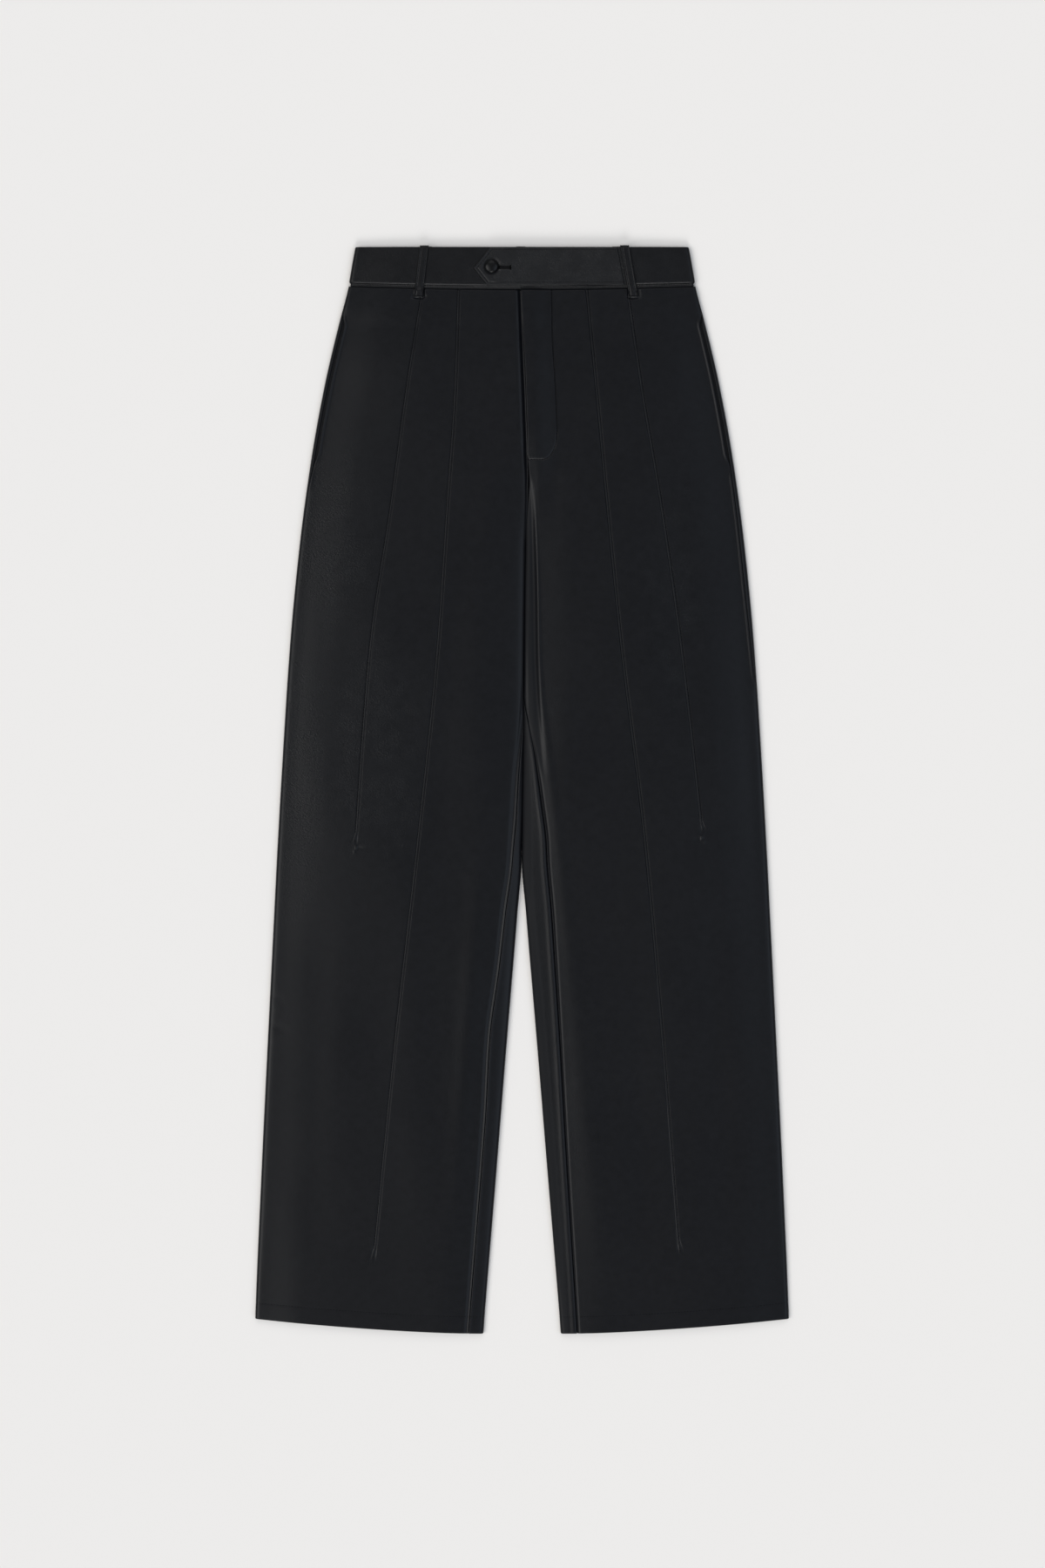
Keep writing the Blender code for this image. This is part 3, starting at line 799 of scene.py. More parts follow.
def tuck_share(path, down, first):
    """A tuck's strength along its length: full from the waist seam, and gone at its end."""
    grown = smoothstep((down - first) / 10 + 1)
    low = 1 - TUCK_LOW_LOSS * smoothstep((down - TUCK_LOW) / TUCK_LOW_RUN)
    is_outer = path in (LEFT_OUTER_TUCK, RIGHT_OUTER_TUCK)
    strength = OUTER_TUCK_STRENGTH if is_outer else TUCK_STRENGTH
    return strength * low * grown * smoothstep((path[-1].down - down) / TUCK_FADE)


def j_line():
    """The fly's stitched line, from the waist seam down and round to the fly's edge."""
    across = smooth_curve(J_ACROSS)
    straight = [(float(across(down)), down) for down in np.linspace(44, J_TURN_DOWN, 60)]
    width = J_ACROSS[-1].across - J_TURN_END
    height = J_BOTTOM - J_TURN_DOWN
    turn = []
    for angle in np.linspace(0, math.pi / 2, 40)[1:]:
        x = J_TURN_END + width * math.cos(angle)
        turn.append((x, J_TURN_DOWN + height * math.sin(angle)))
    end = float(middle(J_BOTTOM)) + 1.2
    bottom = [(x, J_BOTTOM) for x in np.linspace(J_TURN_END, end, 24)[1:]]
    return np.array(straight + turn + bottom)


def distance_to(path, across, down):
    """The distance from each point to a polyline with close points."""
    nearest = np.full(across.shape, 1e9)
    for x, y in path:
        nearest = np.minimum(nearest, np.hypot(across - x, down - y))
    return nearest


J_PATH = j_line()
J_DENSE = np.array(
    [
        J_PATH[i] + (J_PATH[i + 1] - J_PATH[i]) * share
        for i in range(len(J_PATH) - 1)
        for share in np.linspace(0, 1, 8, endpoint=False)
    ]
)


# The line that a front loop's foot presses in. FOOT_LINE is half of it, by the distance out
# from the loop's middle and the distance above FOOT_DOWN.
FOOT_ACROSS = {"left": 112.4, "right": 104.5}
FOOT_DOWN = 52.3
FOOT_REACH = 12.0
FOOT_LINE = (Corner(4.7, 10.0), Corner(5.2, 1.2), Corner(4.0, 0.0))


def foot_outline(leg):
    """The line along which a front loop's foot presses into the cloth."""
    centre = FOOT_ACROSS[leg.name]
    inward = [Corner(centre - half.x, FOOT_DOWN - half.down) for half in FOOT_LINE]
    outward = [Corner(centre + half.x, FOOT_DOWN - half.down) for half in reversed(FOOT_LINE)]
    return inward + outward


def upper_detail(leg, down, across, row):
    """Sewn grooves and the hem's ridge, on the outer face of the upper side."""
    detail = groove(row - HEM_STITCH, HEM_GROOVE)
    detail = detail + HEM_RIDGE * bell(row - HEM_STITCH - HEM_RIDGE_BELOW, HEM_RIDGE_WIDTH)
    detail = detail + groove(row - BAND_HEIGHT - 0.2, WAIST_GROOVE)
    near = (row < 60) & (abs(across - FOOT_ACROSS[leg.name]) < FOOT_REACH)
    pressed = np.zeros(across.shape)
    pressed[near] = polyline_distance(foot_outline(leg), across[near], down[near])
    detail = detail + np.where(near, groove(pressed, FOOT_GROOVE), 0.0)
    for knot in KNOTS:
        off = np.hypot(leg.sign * across - knot.x, (down - knot.down) * 0.6)
        detail = detail + knot.height * bell(off, knot.width)
    if leg is LEFT:
        near = (down < J_BOTTOM + 6) & (across < 42)
        j = np.zeros(across.shape)
        off = distance_to(J_DENSE, across[near], down[near])
        j[near] = groove(off, J_GROOVE)
        detail = detail + j
        above = J_BOTTOM - 2.3 - down
        inside = smoothstep((29 - across) / 7) * smoothstep((across - 6) / 3)
        pucker = 0.2 + 0.12 * np.sin(across * 1.9) + 0.08 * np.sin(across * 3.7 + 1)
        detail = detail + pucker * inside * np.exp(-((above / 1.4) ** 2))
    return detail


# Meshes


def linked(name, data):
    obj = bpy.data.objects.new(name, data)
    bpy.context.scene.collection.objects.link(obj)
    return obj


def new_object(name, vertices, faces, sharp_angle=55.0):
    """A smooth-shaded mesh from points in millimetres, counted from the waistband's top."""
    points = np.array(vertices, float).reshape(-1, 3)
    points = (points + (0.0, TOP_Y, 0.0)) * MM
    data = bpy.data.meshes.new(name)
    data.from_pydata(points.tolist(), [], faces)
    data.validate()
    mesh = bmesh.new()
    mesh.from_mesh(data)
    bmesh.ops.recalc_face_normals(mesh, faces=mesh.faces)
    mesh.to_mesh(data)
    mesh.free()
    data.shade_smooth()
    data.set_sharp_from_angle(angle=math.radians(sharp_angle))
    return linked(name, data)


def shell_faces(rows, columns, kept_rows, kept_columns):
    """Faces of a closed shell: a full outer grid, and an inner grid of the kept lines."""
    first = rows * columns
    width = len(kept_columns)
    faces = []
    for r in range(rows - 1):
        at = r * columns
        for c in range(columns - 1):
            faces.append((at + c, at + c + 1, at + columns + c + 1, at + columns + c))
    for i in range(len(kept_rows) - 1):
        at = first + i * width
        for k in range(width - 1):
            faces.append((at + k, at + width + k, at + width + k + 1, at + k + 1))
    for i in range(len(kept_rows) - 1):
        span = range(kept_rows[i], kept_rows[i + 1] + 1)
        for column, k in ((0, 0), (columns - 1, width - 1)):
            edge = [r * columns + column for r in span]
            faces.append(edge + [first + (i + 1) * width + k, first + i * width + k])
    for k in range(width - 1):
        span = range(kept_columns[k], kept_columns[k + 1] + 1)
        for row, i in ((0, 0), (rows - 1, len(kept_rows) - 1)):
            edge = [row * columns + c for c in span]
            faces.append(edge + [first + i * width + k + 1, first + i * width + k])
    return faces


def ring_faces(rings, count):
    """Faces that join each ring of points to the next."""
    faces = []
    for r in range(rings - 1):
        at = r * count
        for c in range(count):
            d = (c + 1) % count
            faces.append((at + c, at + d, at + count + d, at + count + c))
    return faces


def kept(count, step):
    """Every so many lines, with the first and last."""
    lines = list(range(0, count - 1, step))
    return lines + [count - 1]


def shell(name, outer, inner, row_step=3, column_step=2, sharp_angle=55.0):
    rows, columns = outer.shape[:2]
    kept_rows, kept_columns = kept(rows, row_step), kept(columns, column_step)
    vertices = [outer.reshape(-1, 3), inner[np.ix_(kept_rows, kept_columns)].reshape(-1, 3)]
    faces = shell_faces(rows, columns, kept_rows, kept_columns)
    return new_object(name, np.concatenate(vertices), faces, sharp_angle)


def graded(start, end, step, *spans):
    """Places from start to end, a step apart, or closer in spans of (low, high, step)."""
    places = [start]
    while places[-1] < end:
        here = places[-1]
        inside = [span for span in spans if span[0] <= here < span[1]]
        ahead = [span[0] for span in spans if span[0] > here]
        pace = min([span[2] for span in inside] + [step])
        limit = min([end] + ahead + [span[1] for span in inside])
        places.append(min(here + pace, limit) if limit - here > 1e-6 else here + pace)
    return np.array(places)


Line = namedtuple("Line", "arc rise")


def flat_rise(down):
    return np.zeros(np.shape(down))


def line(arc, rise=flat_rise):
    return Line(arc, rise)


LEAN = 0.6
LEAN_START = 206.0
LEAN_RUN = 50.0
LEAN_END = 572.0
LEAN_LEVEL = 4.4
LEAN_ACROSS = 3.5
LEAN_FADE = 12.0


def lean(leg, down, across, points):
    """Where the legs touch, one inner fold leans over the other."""
    share = smoothstep((down - LEAN_START) / LEAN_RUN)
    share = share * (1 - smoothstep((down - LEAN_END) / LEAN_RUN))
    from_edge = across - inner_edge(leg, down) - LEAN_ACROSS
    share = share * (1 - smoothstep(from_edge / LEAN_FADE))
    points[..., 0] += LEAN * share * (points[..., 2] - LEAN_LEVEL)


def leg_shell(name, leg, rows, lines, wall, edge_gap):
    """A panel: its grid on the solid's form, moved out by how the cloth lies."""
    shape = (len(rows), len(lines))
    row = np.broadcast_to(np.array(rows)[:, None], shape)
    down, arc, rise = np.empty(shape), np.empty(shape), np.empty(shape)
    for c, item in enumerate(lines):
        start = across_at(leg, row[:, c], item.arc(row[:, c]))
        down[:, c] = bent_row(leg, row[:, c], start)
        arc[:, c] = item.arc(down[:, c])
        rise[:, c] = item.rise(down[:, c])
    across = across_at(leg, down, arc)
    upper = is_upper(leg, down, arc)
    base, normal = loop_point(leg, down, arc), loop_normal(leg, down, arc)
    lie = np.where(upper, upper_lie(leg, down, across), under_lie(leg, down, across))
    detail = np.where(upper, upper_detail(leg, down, across, row), 0.0)
    detail = detail + rise + edge_gap(down, arc)
    detail = detail + rounded(row - rows[0], EDGE_ROUND) + rounded(rows[-1] - row, EDGE_ROUND)
    outer = base + normal * (lie + detail)[..., None]
    inner = base + normal * (lie - wall)[..., None]
    lean(leg, down, across, outer)
    lean(leg, down, across, inner)
    return shell(name, outer, inner)


PANEL_ROWS = graded(
    BAND_HEIGHT + SEAM_GAP,
    HEM_OUTER,
    3.0,
    (BAND_HEIGHT + SEAM_GAP, 41.0, 0.2),
    (41.0, 45.0, 0.4),
    (45.0, 54.0, 0.45),
    (54.0, 60.0, 1.5),
    (180.0, 208.0, 0.75),
    (208.0, 220.0, 0.45),
    (294.0, 316.0, 1.5),
    (586.0, 616.0, 0.8),
    (616.0, 628.0, 1.6),
    (1060.0, 1074.0, 0.8),
    (1074.0, 1082.0, 1.4),
    (1082.0, HEM_OUTER, 0.2),
)


def spread(leg, first, last, count):
    """Lines evenly between two lines, by their distance across."""

    def at(share):
        def arc(down):
            low = across_at(leg, down, first.arc(down))
            high = across_at(leg, down, last.arc(down))
            return flat_arc(leg, down, low + (high - low) * share)

        return line(arc)

    return [at(step / (count + 1)) for step in range(1, count + 1)]


def flat_arc(leg, down, across):
    """The arc of a place on the flat of the upper side."""
    return across - inner_tip(leg, down) + QUARTER - FOLD_DEPTH


def tuck_lines(leg, path, first):
    """Lines along a tuck's section. Where it is faint they are evenly apart."""
    start, end = TUCK_SECTION[0].out, TUCK_SECTION[-1].out
    lines = []
    for order, (out, height) in enumerate(TUCK_SECTION):
        even = start + (end - start) * order / (len(TUCK_SECTION) - 1)

        def arc(down, out=out, even=even):
            share = np.minimum(tuck_share(path, down, first) * 2.5, 1.0)
            return flat_arc(leg, down, tuck_across(path, down) + even + (out - even) * share)

        def rise(down, height=height):
            return height * tuck_share(path, down, first)

        lines.append(line(arc, rise))
    return lines


J_STEPS = (-2.4, -1.7, -1.15, -0.75, -0.45, -0.2, 0.0, 0.2, 0.45, 0.75, 1.15, 1.7, 2.4)
J_BEFORE = 5
J_AFTER = 14
J_RUN = 70.0


def fly_lines(leg, first, last):
    """Lines close beside the fly's stitched line, and evenly apart below it."""
    j_across = smooth_curve(J_ACROSS)

    def before(down, share):
        low = across_at(leg, down, first.arc(down))
        return low + (j_across(down) + J_STEPS[0] - low) * share

    def after(down, share):
        low = j_across(down) + J_STEPS[-1]
        return low + (across_at(leg, down, last.arc(down)) - low) * share

    def beside(down, share):
        return j_across(down) + share

    places = [(before, step / (J_BEFORE + 1)) for step in range(1, J_BEFORE + 1)]
    places += [(beside, step) for step in J_STEPS]
    places += [(after, step / (J_AFTER + 1)) for step in range(1, J_AFTER + 1)]
    lines = []
    for order, (place, share) in enumerate(places, start=1):

        def arc(down, place=place, share=share, order=order):
            low = across_at(leg, down, first.arc(down))
            high = across_at(leg, down, last.arc(down))
            even = low + (high - low) * order / (len(places) + 1)
            below = smoothstep((down - J_BOTTOM - 5) / J_RUN)
            above = place(down, share)
            return flat_arc(leg, down, above + (even - above) * below)

        lines.append(line(arc))
    return lines


THIGH_STEPS = EDGE_STEPS[:11] + tuple(6.6 + step for step in range(18))
FLY_STEPS = EDGE_STEPS[:10] + tuple(4.9 + 0.55 * step for step in range(9)) + (10.5, 12.5, 15.0)


def front_lines(leg):
    steps = THIGH_STEPS if leg is LEFT else FLY_STEPS
    inner = [line(lambda down, step=step: front_inner_arc(leg, down) + step) for step in steps]
    outer = [
        line(lambda down, step=step: front_outer_arc(leg, down) - step)
        for step in reversed(EDGE_STEPS)
    ]
    inner_tuck = tuck_lines(leg, leg.inner_tuck, INNER_TUCK_TOP)
    outer_tuck = tuck_lines(leg, leg.outer_tuck, OUTER_TUCK_TOP)
    if leg is LEFT:
        beside_fly = fly_lines(leg, inner[-1], inner_tuck[0])
    else:
        beside_fly = spread(leg, inner[-1], inner_tuck[0], 22)
    return (
        inner
        + beside_fly
        + inner_tuck
        + spread(leg, inner_tuck[-1], outer_tuck[0], 10)
        + outer_tuck
        + spread(leg, outer_tuck[-1], outer[0], 20)
        + outer
    )


# The roll along the pocket mouth, and fainter along the side seam below it
ROLL_HEIGHT = 0.6
ROLL_IN = 1.3
ROLL_WIDTH = 1.2
SEAM_ROLL_SHARE = 0.8
SEAM_ROLL_END = {"left": 470, "right": 262}


def front_panel(leg):
    def edges(down, arc):
        radius = EDGE_ROUND + 0.25 * mouth_share(down)
        inner = rounded(arc - front_inner_arc(leg, down), EDGE_ROUND)
        from_outer = front_outer_arc(leg, down) - arc
        seam = smoothstep((down - MOUTH_BOTTOM) / 10)
        seam = seam * smoothstep((SEAM_ROLL_END[leg.name] - down) / 40)
        share = mouth_share(down) + SEAM_ROLL_SHARE * seam
        roll = ROLL_HEIGHT * share * bell(from_outer - ROLL_IN, ROLL_WIDTH)
        return inner + rounded(from_outer, radius) + roll

    return leg_shell(f"front_{leg.name}_cloth", leg, PANEL_ROWS, front_lines(leg), WALL, edges)


# Arcs from a fold's tip at which the back's lines lie: above it first, then below
ROUND_TIP = (3.1, 2.3, 1.5, 0.7, 0.0, -0.7, -1.5, -2.3, -3.1)
ABOVE_INNER = (26.0, 24.0, 22.5, 21.0, 19.5, 18.0, 16.0, 14.0, 12.0, 10.0, 8.5, 7.2, 6.2, 5.4, 4.75, 3.9)
INNER_TURN = ABOVE_INNER + ROUND_TIP + (-3.9, -4.75, -6.0, -8.0, -11.0)
OUTER_TURN = ROUND_TIP + (-3.9, -4.75, -6.0, -8.0, -11.0, -16.0)
TURN_STEP = 0.35


def back_lines(leg):
    def inner_end(step):
        return line(
            lambda down: 2 * side_length(leg, down) + back_inner_arc(leg, down) - step
        )

    def inner_turn(order, target):
        def arc(down):
            twice = 2 * side_length(leg, down)
            edge = twice + back_inner_arc(leg, down) - 1.8
            return np.minimum(twice + target, edge - order * 2 * TURN_STEP)

        return line(arc)

    def outer_turn(order, target):
        def arc(down):
            length = side_length(leg, down)
            edge = length - side_arc(leg, down) + SEAM_GAP / 2 + 0.9
            return np.maximum(length - target, edge + order * TURN_STEP)

        return line(arc)

    def outer_end(step):
        return line(
            lambda down: side_length(leg, down) - side_arc(leg, down) + SEAM_GAP / 2 + step
        )

    outer = [outer_end(step) for step in (0.0, 0.07, 0.2, 0.42, 0.7)]
    for order, target in enumerate(OUTER_TURN):
        outer.append(outer_turn(order, target))
    inner = []
    for order, target in enumerate(INNER_TURN):
        inner.insert(0, inner_turn(order, target))
    inner += [inner_end(step) for step in (1.2, 0.7, 0.42, 0.2, 0.07, 0.0)]

    def flat(share):
        def arc(down):
            low, high = outer[-1].arc(down), inner[0].arc(down)
            return low + (high - low) * share

        return line(arc)

    return outer + [flat(step / 36) for step in range(1, 36)] + inner


def back_panel(leg):
    def edges(down, arc):
        length = side_length(leg, down)
        outer = arc - (length - side_arc(leg, down) + SEAM_GAP / 2)
        inner = 2 * length + back_inner_arc(leg, down) - arc
        return rounded(outer, EDGE_ROUND) + rounded(inner, EDGE_ROUND)

    return leg_shell(f"back_{leg.name}_cloth", leg, PANEL_ROWS, back_lines(leg), WALL, edges)


def pocket_facing(leg):
    rows = np.arange(FACING_TOP, FACING_BOTTOM + 1, 2.0)
    steps = np.linspace(-1.2, 8.0, 14)
    down = np.broadcast_to(rows[:, None], (len(rows), len(steps)))
    arc = side_length(leg, down) - side_arc(leg, down) - steps[None, :]
    base, normal = loop_point(leg, down, arc), loop_normal(leg, down, arc)
    low = -(WALL + SEAM_GAP)
    lie = np.minimum(upper_lie(leg, down, across_at(leg, down, arc)), 0.25)
    outer = base + normal * (low + lie)[..., None]
    inner = base + normal * (low + lie - FACING_WALL)[..., None]
    return shell(f"pocket_facing_{leg.name}_cloth", outer, inner)


# Waistband, tab, loops and button

BAND_CROWN = 0.35
BAND_STITCH = 2.0
BAND_ROUND = 1.0
BAND_BEVEL = 4.4
BAND_BEVEL_RUN = 3.2
BAND_BEVEL_DROP = 1.7
BAND_COLUMNS = 170


def band_face():
    return WAIST_LIFT + LOFT + BAND_PROUD


def band_detail(row, across=0.0):
    """The band's soft crown, its puckered slope down to the seam and the stitched groove."""
    middle_row = (BAND_TOP + BAND_HEIGHT) / 2
    crown = 1 - ((row - middle_row) / middle_row) ** 2
    from_top, from_bottom = row - BAND_TOP, BAND_HEIGHT - row
    detail = BAND_CROWN * crown + rounded(from_top, BAND_ROUND)
    slope = np.clip((BAND_BEVEL - from_bottom) / BAND_BEVEL_RUN, 0.0, 1.0)
    detail = detail - BAND_BEVEL_DROP * slope**1.2 + rounded(from_bottom, 0.9)
    pucker = np.sin(2.1 * across) * np.sin(0.43 * across + 1) + 0.5 * np.sin(0.9 * across)
    detail = detail + 0.1 * pucker * np.exp(-(((from_bottom - 3.4) / 1.1) ** 2))
    return detail + groove(from_bottom - BAND_STITCH, BAND_GROOVE)


def waistband(leg):
    rows = graded(
        BAND_TOP,
        BAND_HEIGHT,
        2.2,
        (BAND_TOP, 1.6, 0.14),
        (33.0, 36.6, 0.5),
        (36.6, 38.7, 0.2),
        (38.7, BAND_HEIGHT, 0.12),
    )
    arcs = []
    for share in np.linspace(0, 1, BAND_COLUMNS):

        def flat(down, share=share):
            low = recess(down) + QUARTER - FOLD_DEPTH
            return low + (side_length(leg, down) - 13.0 - low) * share

        arcs.append(flat)
    for inward in (11.0, 8.5, 6.5, 4.75, 3.8, 2.9, 2.0, 1.0):
        arcs.append(lambda down, inward=inward: side_length(leg, down) - inward)
    upper = list(arcs)
    lower = [
        lambda down, arc=arc: 2 * side_length(leg, down) - arc(down) for arc in reversed(upper)
    ]
    columns = upper + [lambda down: side_length(leg, down)] + lower
    shape = (len(rows), len(columns))
    row = np.broadcast_to(rows[:, None], shape)
    down, arc = np.empty(shape), np.empty(shape)
    for c, column in enumerate(columns):
        start = across_at(leg, row[:, c], column(row[:, c]))
        down[:, c] = bent_row(leg, row[:, c], start)
        arc[:, c] = column(down[:, c])
    base, normal = loop_point(leg, down, arc), loop_normal(leg, down, arc)
    upper_side = is_upper(leg, down, arc)
    over = band_detail(row, across_at(leg, down, arc))
    crown = np.where(upper_side, over, band_detail(row) - BAND_CROWN)
    outer = base + normal * (BAND_PROUD + crown)[..., None]
    inner = base + normal * (BAND_PROUD - BAND_WALL)
    return shell(f"waistband_{leg.name}_cloth", outer, inner)


TAB_TOP = 1.0
TAB_BOTTOM = 39.3
TAB_TIP_DOWN = 22.0
TAB_LEFT = (
    Corner(-28.6, TAB_TOP),
    Corner(-33.0, 2.6),
    Corner(-40.7, 12.0),
    Corner(-48.8, TAB_TIP_DOWN),
    Corner(-41.8, 31.0),
    Corner(-35.2, TAB_BOTTOM),
)
TAB_END_TOP = 102.0
TAB_END_BOTTOM = 109.0
TAB_END_STEP = 5.7
TAB_END_THIN = 0.8
TAB_END_SUNK = 1.55
TAB_STITCH = 2.7
TAB_CROWN = 0.3
TAB_ROUND = 0.85
HOLE_START = -25.5
HOLE_END = -12.0
HOLE_DOWN = 21.8

# The grid's columns, close together in from the pointed edge and before the sunk end
TAB_COLUMNS = 120
TAB_TIP_STEPS = (0, 0.1, 0.25, 0.45, 0.7, 1.0, 1.4, 1.9, 2.3, 2.7, 3.0, 3.3, 3.6, 3.9, 4.3, 5.0, 6.2)
TAB_END_STEPS = (7.6, 7.1, 6.6, 6.3, 6.15, 6.0, 5.85, 5.7, 5.5, 4.0, 2.0, 0.8, 0.2, 0.0)


def tab_end(down):
    slant = (down - TAB_TOP) / (TAB_BOTTOM - TAB_TOP)
    return TAB_END_TOP + (TAB_END_BOTTOM - TAB_END_TOP) * slant


def tab_face():
    return band_face() + SEAM_GAP + TAB_WALL


def polyline_distance(corners, x, down):
    nearest = np.full(np.broadcast(x, down).shape, 1e9)
    for a, b in zip(corners, corners[1:]):
        run_x, run_down = b.x - a.x, b.down - a.down
        length = run_x**2 + run_down**2
        along = np.clip(((x - a.x) * run_x + (down - a.down) * run_down) / length, 0, 1)
        off = np.hypot(x - a.x - along * run_x, down - a.down - along * run_down)
        nearest = np.minimum(nearest, off)
    return nearest


def tab_detail(x, down):
    """Rounded and stitched edges, the buttonhole and the sunk end under the loop."""
    top = Corner(tab_end(TAB_TOP), TAB_TOP)
    bottom = Corner(tab_end(TAB_BOTTOM), TAB_BOTTOM)
    edge = polyline_distance((top, *TAB_LEFT, bottom), x, down)
    half = (TAB_BOTTOM - TAB_TOP) / 2
    crown = TAB_CROWN * (1 - ((down - TAB_TOP - half) / half) ** 2)
    by_tip = 0.3 + 0.7 * smoothstep((-20.0 - x) / 10.0)
    detail = crown + rounded(edge, TAB_ROUND)
    detail = detail + by_tip * groove(edge - TAB_STITCH, TAB_GROOVE)
    past = smoothstep((x - (tab_end(down) - TAB_END_STEP - 0.6)) / 0.6)
    slit = (Corner(HOLE_START, HOLE_DOWN), Corner(HOLE_END, HOLE_DOWN))
    hole = polyline_distance(slit, x, down)
    detail = detail - 1.4 * np.exp(-((hole / 0.7) ** 4))
    detail = detail + 0.22 * np.exp(-(((hole - 1.5) / 0.7) ** 2))
    under_button = np.hypot(x - BUTTON_ACROSS, down - BUTTON_DOWN) / (BUTTON_RADIUS + 1.5)
    detail = detail - 1.0 * np.exp(-(under_button**8))
    return detail * (1 - past) - TAB_END_SUNK * past


def waistband_tab():
    rows = graded(
        TAB_TOP,
        TAB_BOTTOM,
        1.1,
        (TAB_TOP, 2.0, 0.14),
        (2.0, 4.6, 0.3),
        (19.4, 24.2, 0.22),
        (35.6, 37.4, 0.25),
        (37.4, 38.2, 0.4),
        (38.2, TAB_BOTTOM, 0.14),
    )
    corners_down = [corner.down for corner in TAB_LEFT]
    left = np.interp(rows, corners_down, [corner.x for corner in TAB_LEFT])
    shares = np.linspace(0, 1, TAB_COLUMNS)
    grid = []
    for down, start in zip(rows, left):
        stop = tab_end(down)
        low, high = start + TAB_TIP_STEPS[-1], stop - TAB_END_STEPS[0]
        flat = low + (high - low) * shares[1:-1]
        tip, end = start + np.array(TAB_TIP_STEPS), stop - np.array(TAB_END_STEPS)
        grid.append(np.concatenate([tip, flat, end]))
    x = np.array(grid)
    down = np.broadcast_to(rows[:, None], x.shape)
    top = tab_face() + tab_detail(x, down)
    low = np.full(x.shape, band_face() + SEAM_GAP)
    outer = np.stack([x, -down, top], axis=-1)
    inner = np.stack([x, -down, low], axis=-1)
    return shell("waistband_tab_cloth", outer, inner)


LOOP_STITCH = 1.75
LOOP_STEPS = (0, 0.08, 0.25, 0.5, 0.9, 1.3, 1.6, 1.9, 2.3, 3.0, 3.8)
SPINE_STEP = 0.5
SPINE_EASING = 3


def loop_spine(stand):
    """The middle of a front loop's cloth, from behind the band's top to its turned-in end."""
    low = band_face() + stand
    centre = low + LOOP_WALL / 2
    seat = band_face() - BAND_PROUD + SEAM_GAP
    heel = LOOP_LENGTH - LOOP_FOOT
    back = -LOOP_RISE + LOOP_WALL / 2
    points = [
        (back, band_face() - 1.5),
        (back, centre - 1.5),
        (back + 0.35, centre - 0.45),
        (back + 1.4, centre),
        (heel - 9.0, centre),
        (heel - 4.0, centre - 0.1),
        (heel + 0.6, seat + 1.75),
        (heel + 3.2, seat + 1.5),
        (LOOP_LENGTH - 0.8, seat + 1.45),
    ]
    return np.array(points)


def foot(down):
    """A front loop is folded double at its foot, and thicker there."""
    return 1 + 0.55 * smoothstep((down - LOOP_LENGTH + 10) / 4)


def resampled(points, step):
    """A polyline's points, evenly apart, with its ends."""
    points = np.array(points, float)
    runs = np.linalg.norm(np.diff(points, axis=0), axis=1)
    along = np.concatenate([[0], np.cumsum(runs)])
    count = max(2, int(round(along[-1] / step)) + 1)
    places = np.linspace(0, along[-1], count)
    return np.stack([np.interp(places, along, points[:, i]) for i in range(points.shape[1])], 1)


def smoothed(points, times):
    """A polyline with its corners eased. Its ends stay."""
    for _ in range(times):
        middle_points = (points[:-2] + 2 * points[1:-1] + points[2:]) / 4
        points = np.concatenate([points[:1], middle_points, points[-1:]])
    return points


def loop_centre(down, top_across, bottom_across):
    """The middle of a slanting loop, at a distance down."""
    slant = (down + LOOP_RISE) / (LOOP_LENGTH + LOOP_RISE)
    return top_across + (bottom_across - top_across) * slant


def strap(name, spine, top_across, bottom_across, wall, ends_round=0.7):
    """A folded strap along a spine of (down, height): rounded edges and two stitched rows."""
    spine = smoothed(resampled(spine, SPINE_STEP), SPINE_EASING)
    tangent = np.gradient(spine, axis=0)
    tangent /= np.linalg.norm(tangent, axis=1, keepdims=True)
    up = np.stack([-tangent[:, 1], tangent[:, 0]], 1)
    runs = np.concatenate([[0], np.cumsum(np.linalg.norm(np.diff(spine, axis=0), axis=1))])
    half = LOOP_WIDTH / 2
    offsets = [-half + step for step in LOOP_STEPS] + [0.0]
    offsets += [half - step for step in reversed(LOOP_STEPS)]
    rings = []
    for (down, height), raised, run in zip(spine, up, runs):
        centre = loop_centre(down, top_across, bottom_across)
        end = min(run, runs[-1] - run)
        thin = 1 + float(rounded(end, ends_round)) / (ends_round + 0.05)
        thin *= float(foot(down)) if wall == LOOP_WALL else 1.0
        face, under = [], []
        for offset in offsets:
            edge = half - abs(offset)
            lift = wall / 2 + float(rounded(edge, 0.75))
            lift += 0.22 * math.exp(-(((edge - 1.0) / 0.55) ** 2))
            lift += float(groove(edge - LOOP_STITCH, LOOP_GROOVE))
            face.append((offset, lift * thin))
            under.append((offset, -(wall / 2 + 0.5 * float(rounded(edge, 0.6))) * thin))
        ring = []
        for offset, lift in face + under[::-1]:
            ring.append((centre + offset, -(down + raised[0] * lift), height + raised[1] * lift))
        rings.append(ring)
    count = len(rings[0])
    faces = ring_faces(len(rings), count)
    half_ring = count // 2
    for at in (0, (len(rings) - 1) * count):
        for c in range(half_ring - 1):
            faces.append((at + c, at + c + 1, at + count - 2 - c, at + count - 1 - c))
    return new_object(name, np.array(rings), faces)


def front_strap(name, top_across, bottom_across, stand):
    return strap(name, loop_spine(stand), top_across, bottom_across, LOOP_WALL)


def back_strap(name, across):
    spine = [(-LOOP_RISE, BACK_LOOP_WALL / 2), (LOOP_LENGTH, BACK_LOOP_WALL / 2)]
    return strap(name, spine, across, across, BACK_LOOP_WALL - 0.1)


BUTTON_STEPS = 72
BUTTON_PLEATS = 18

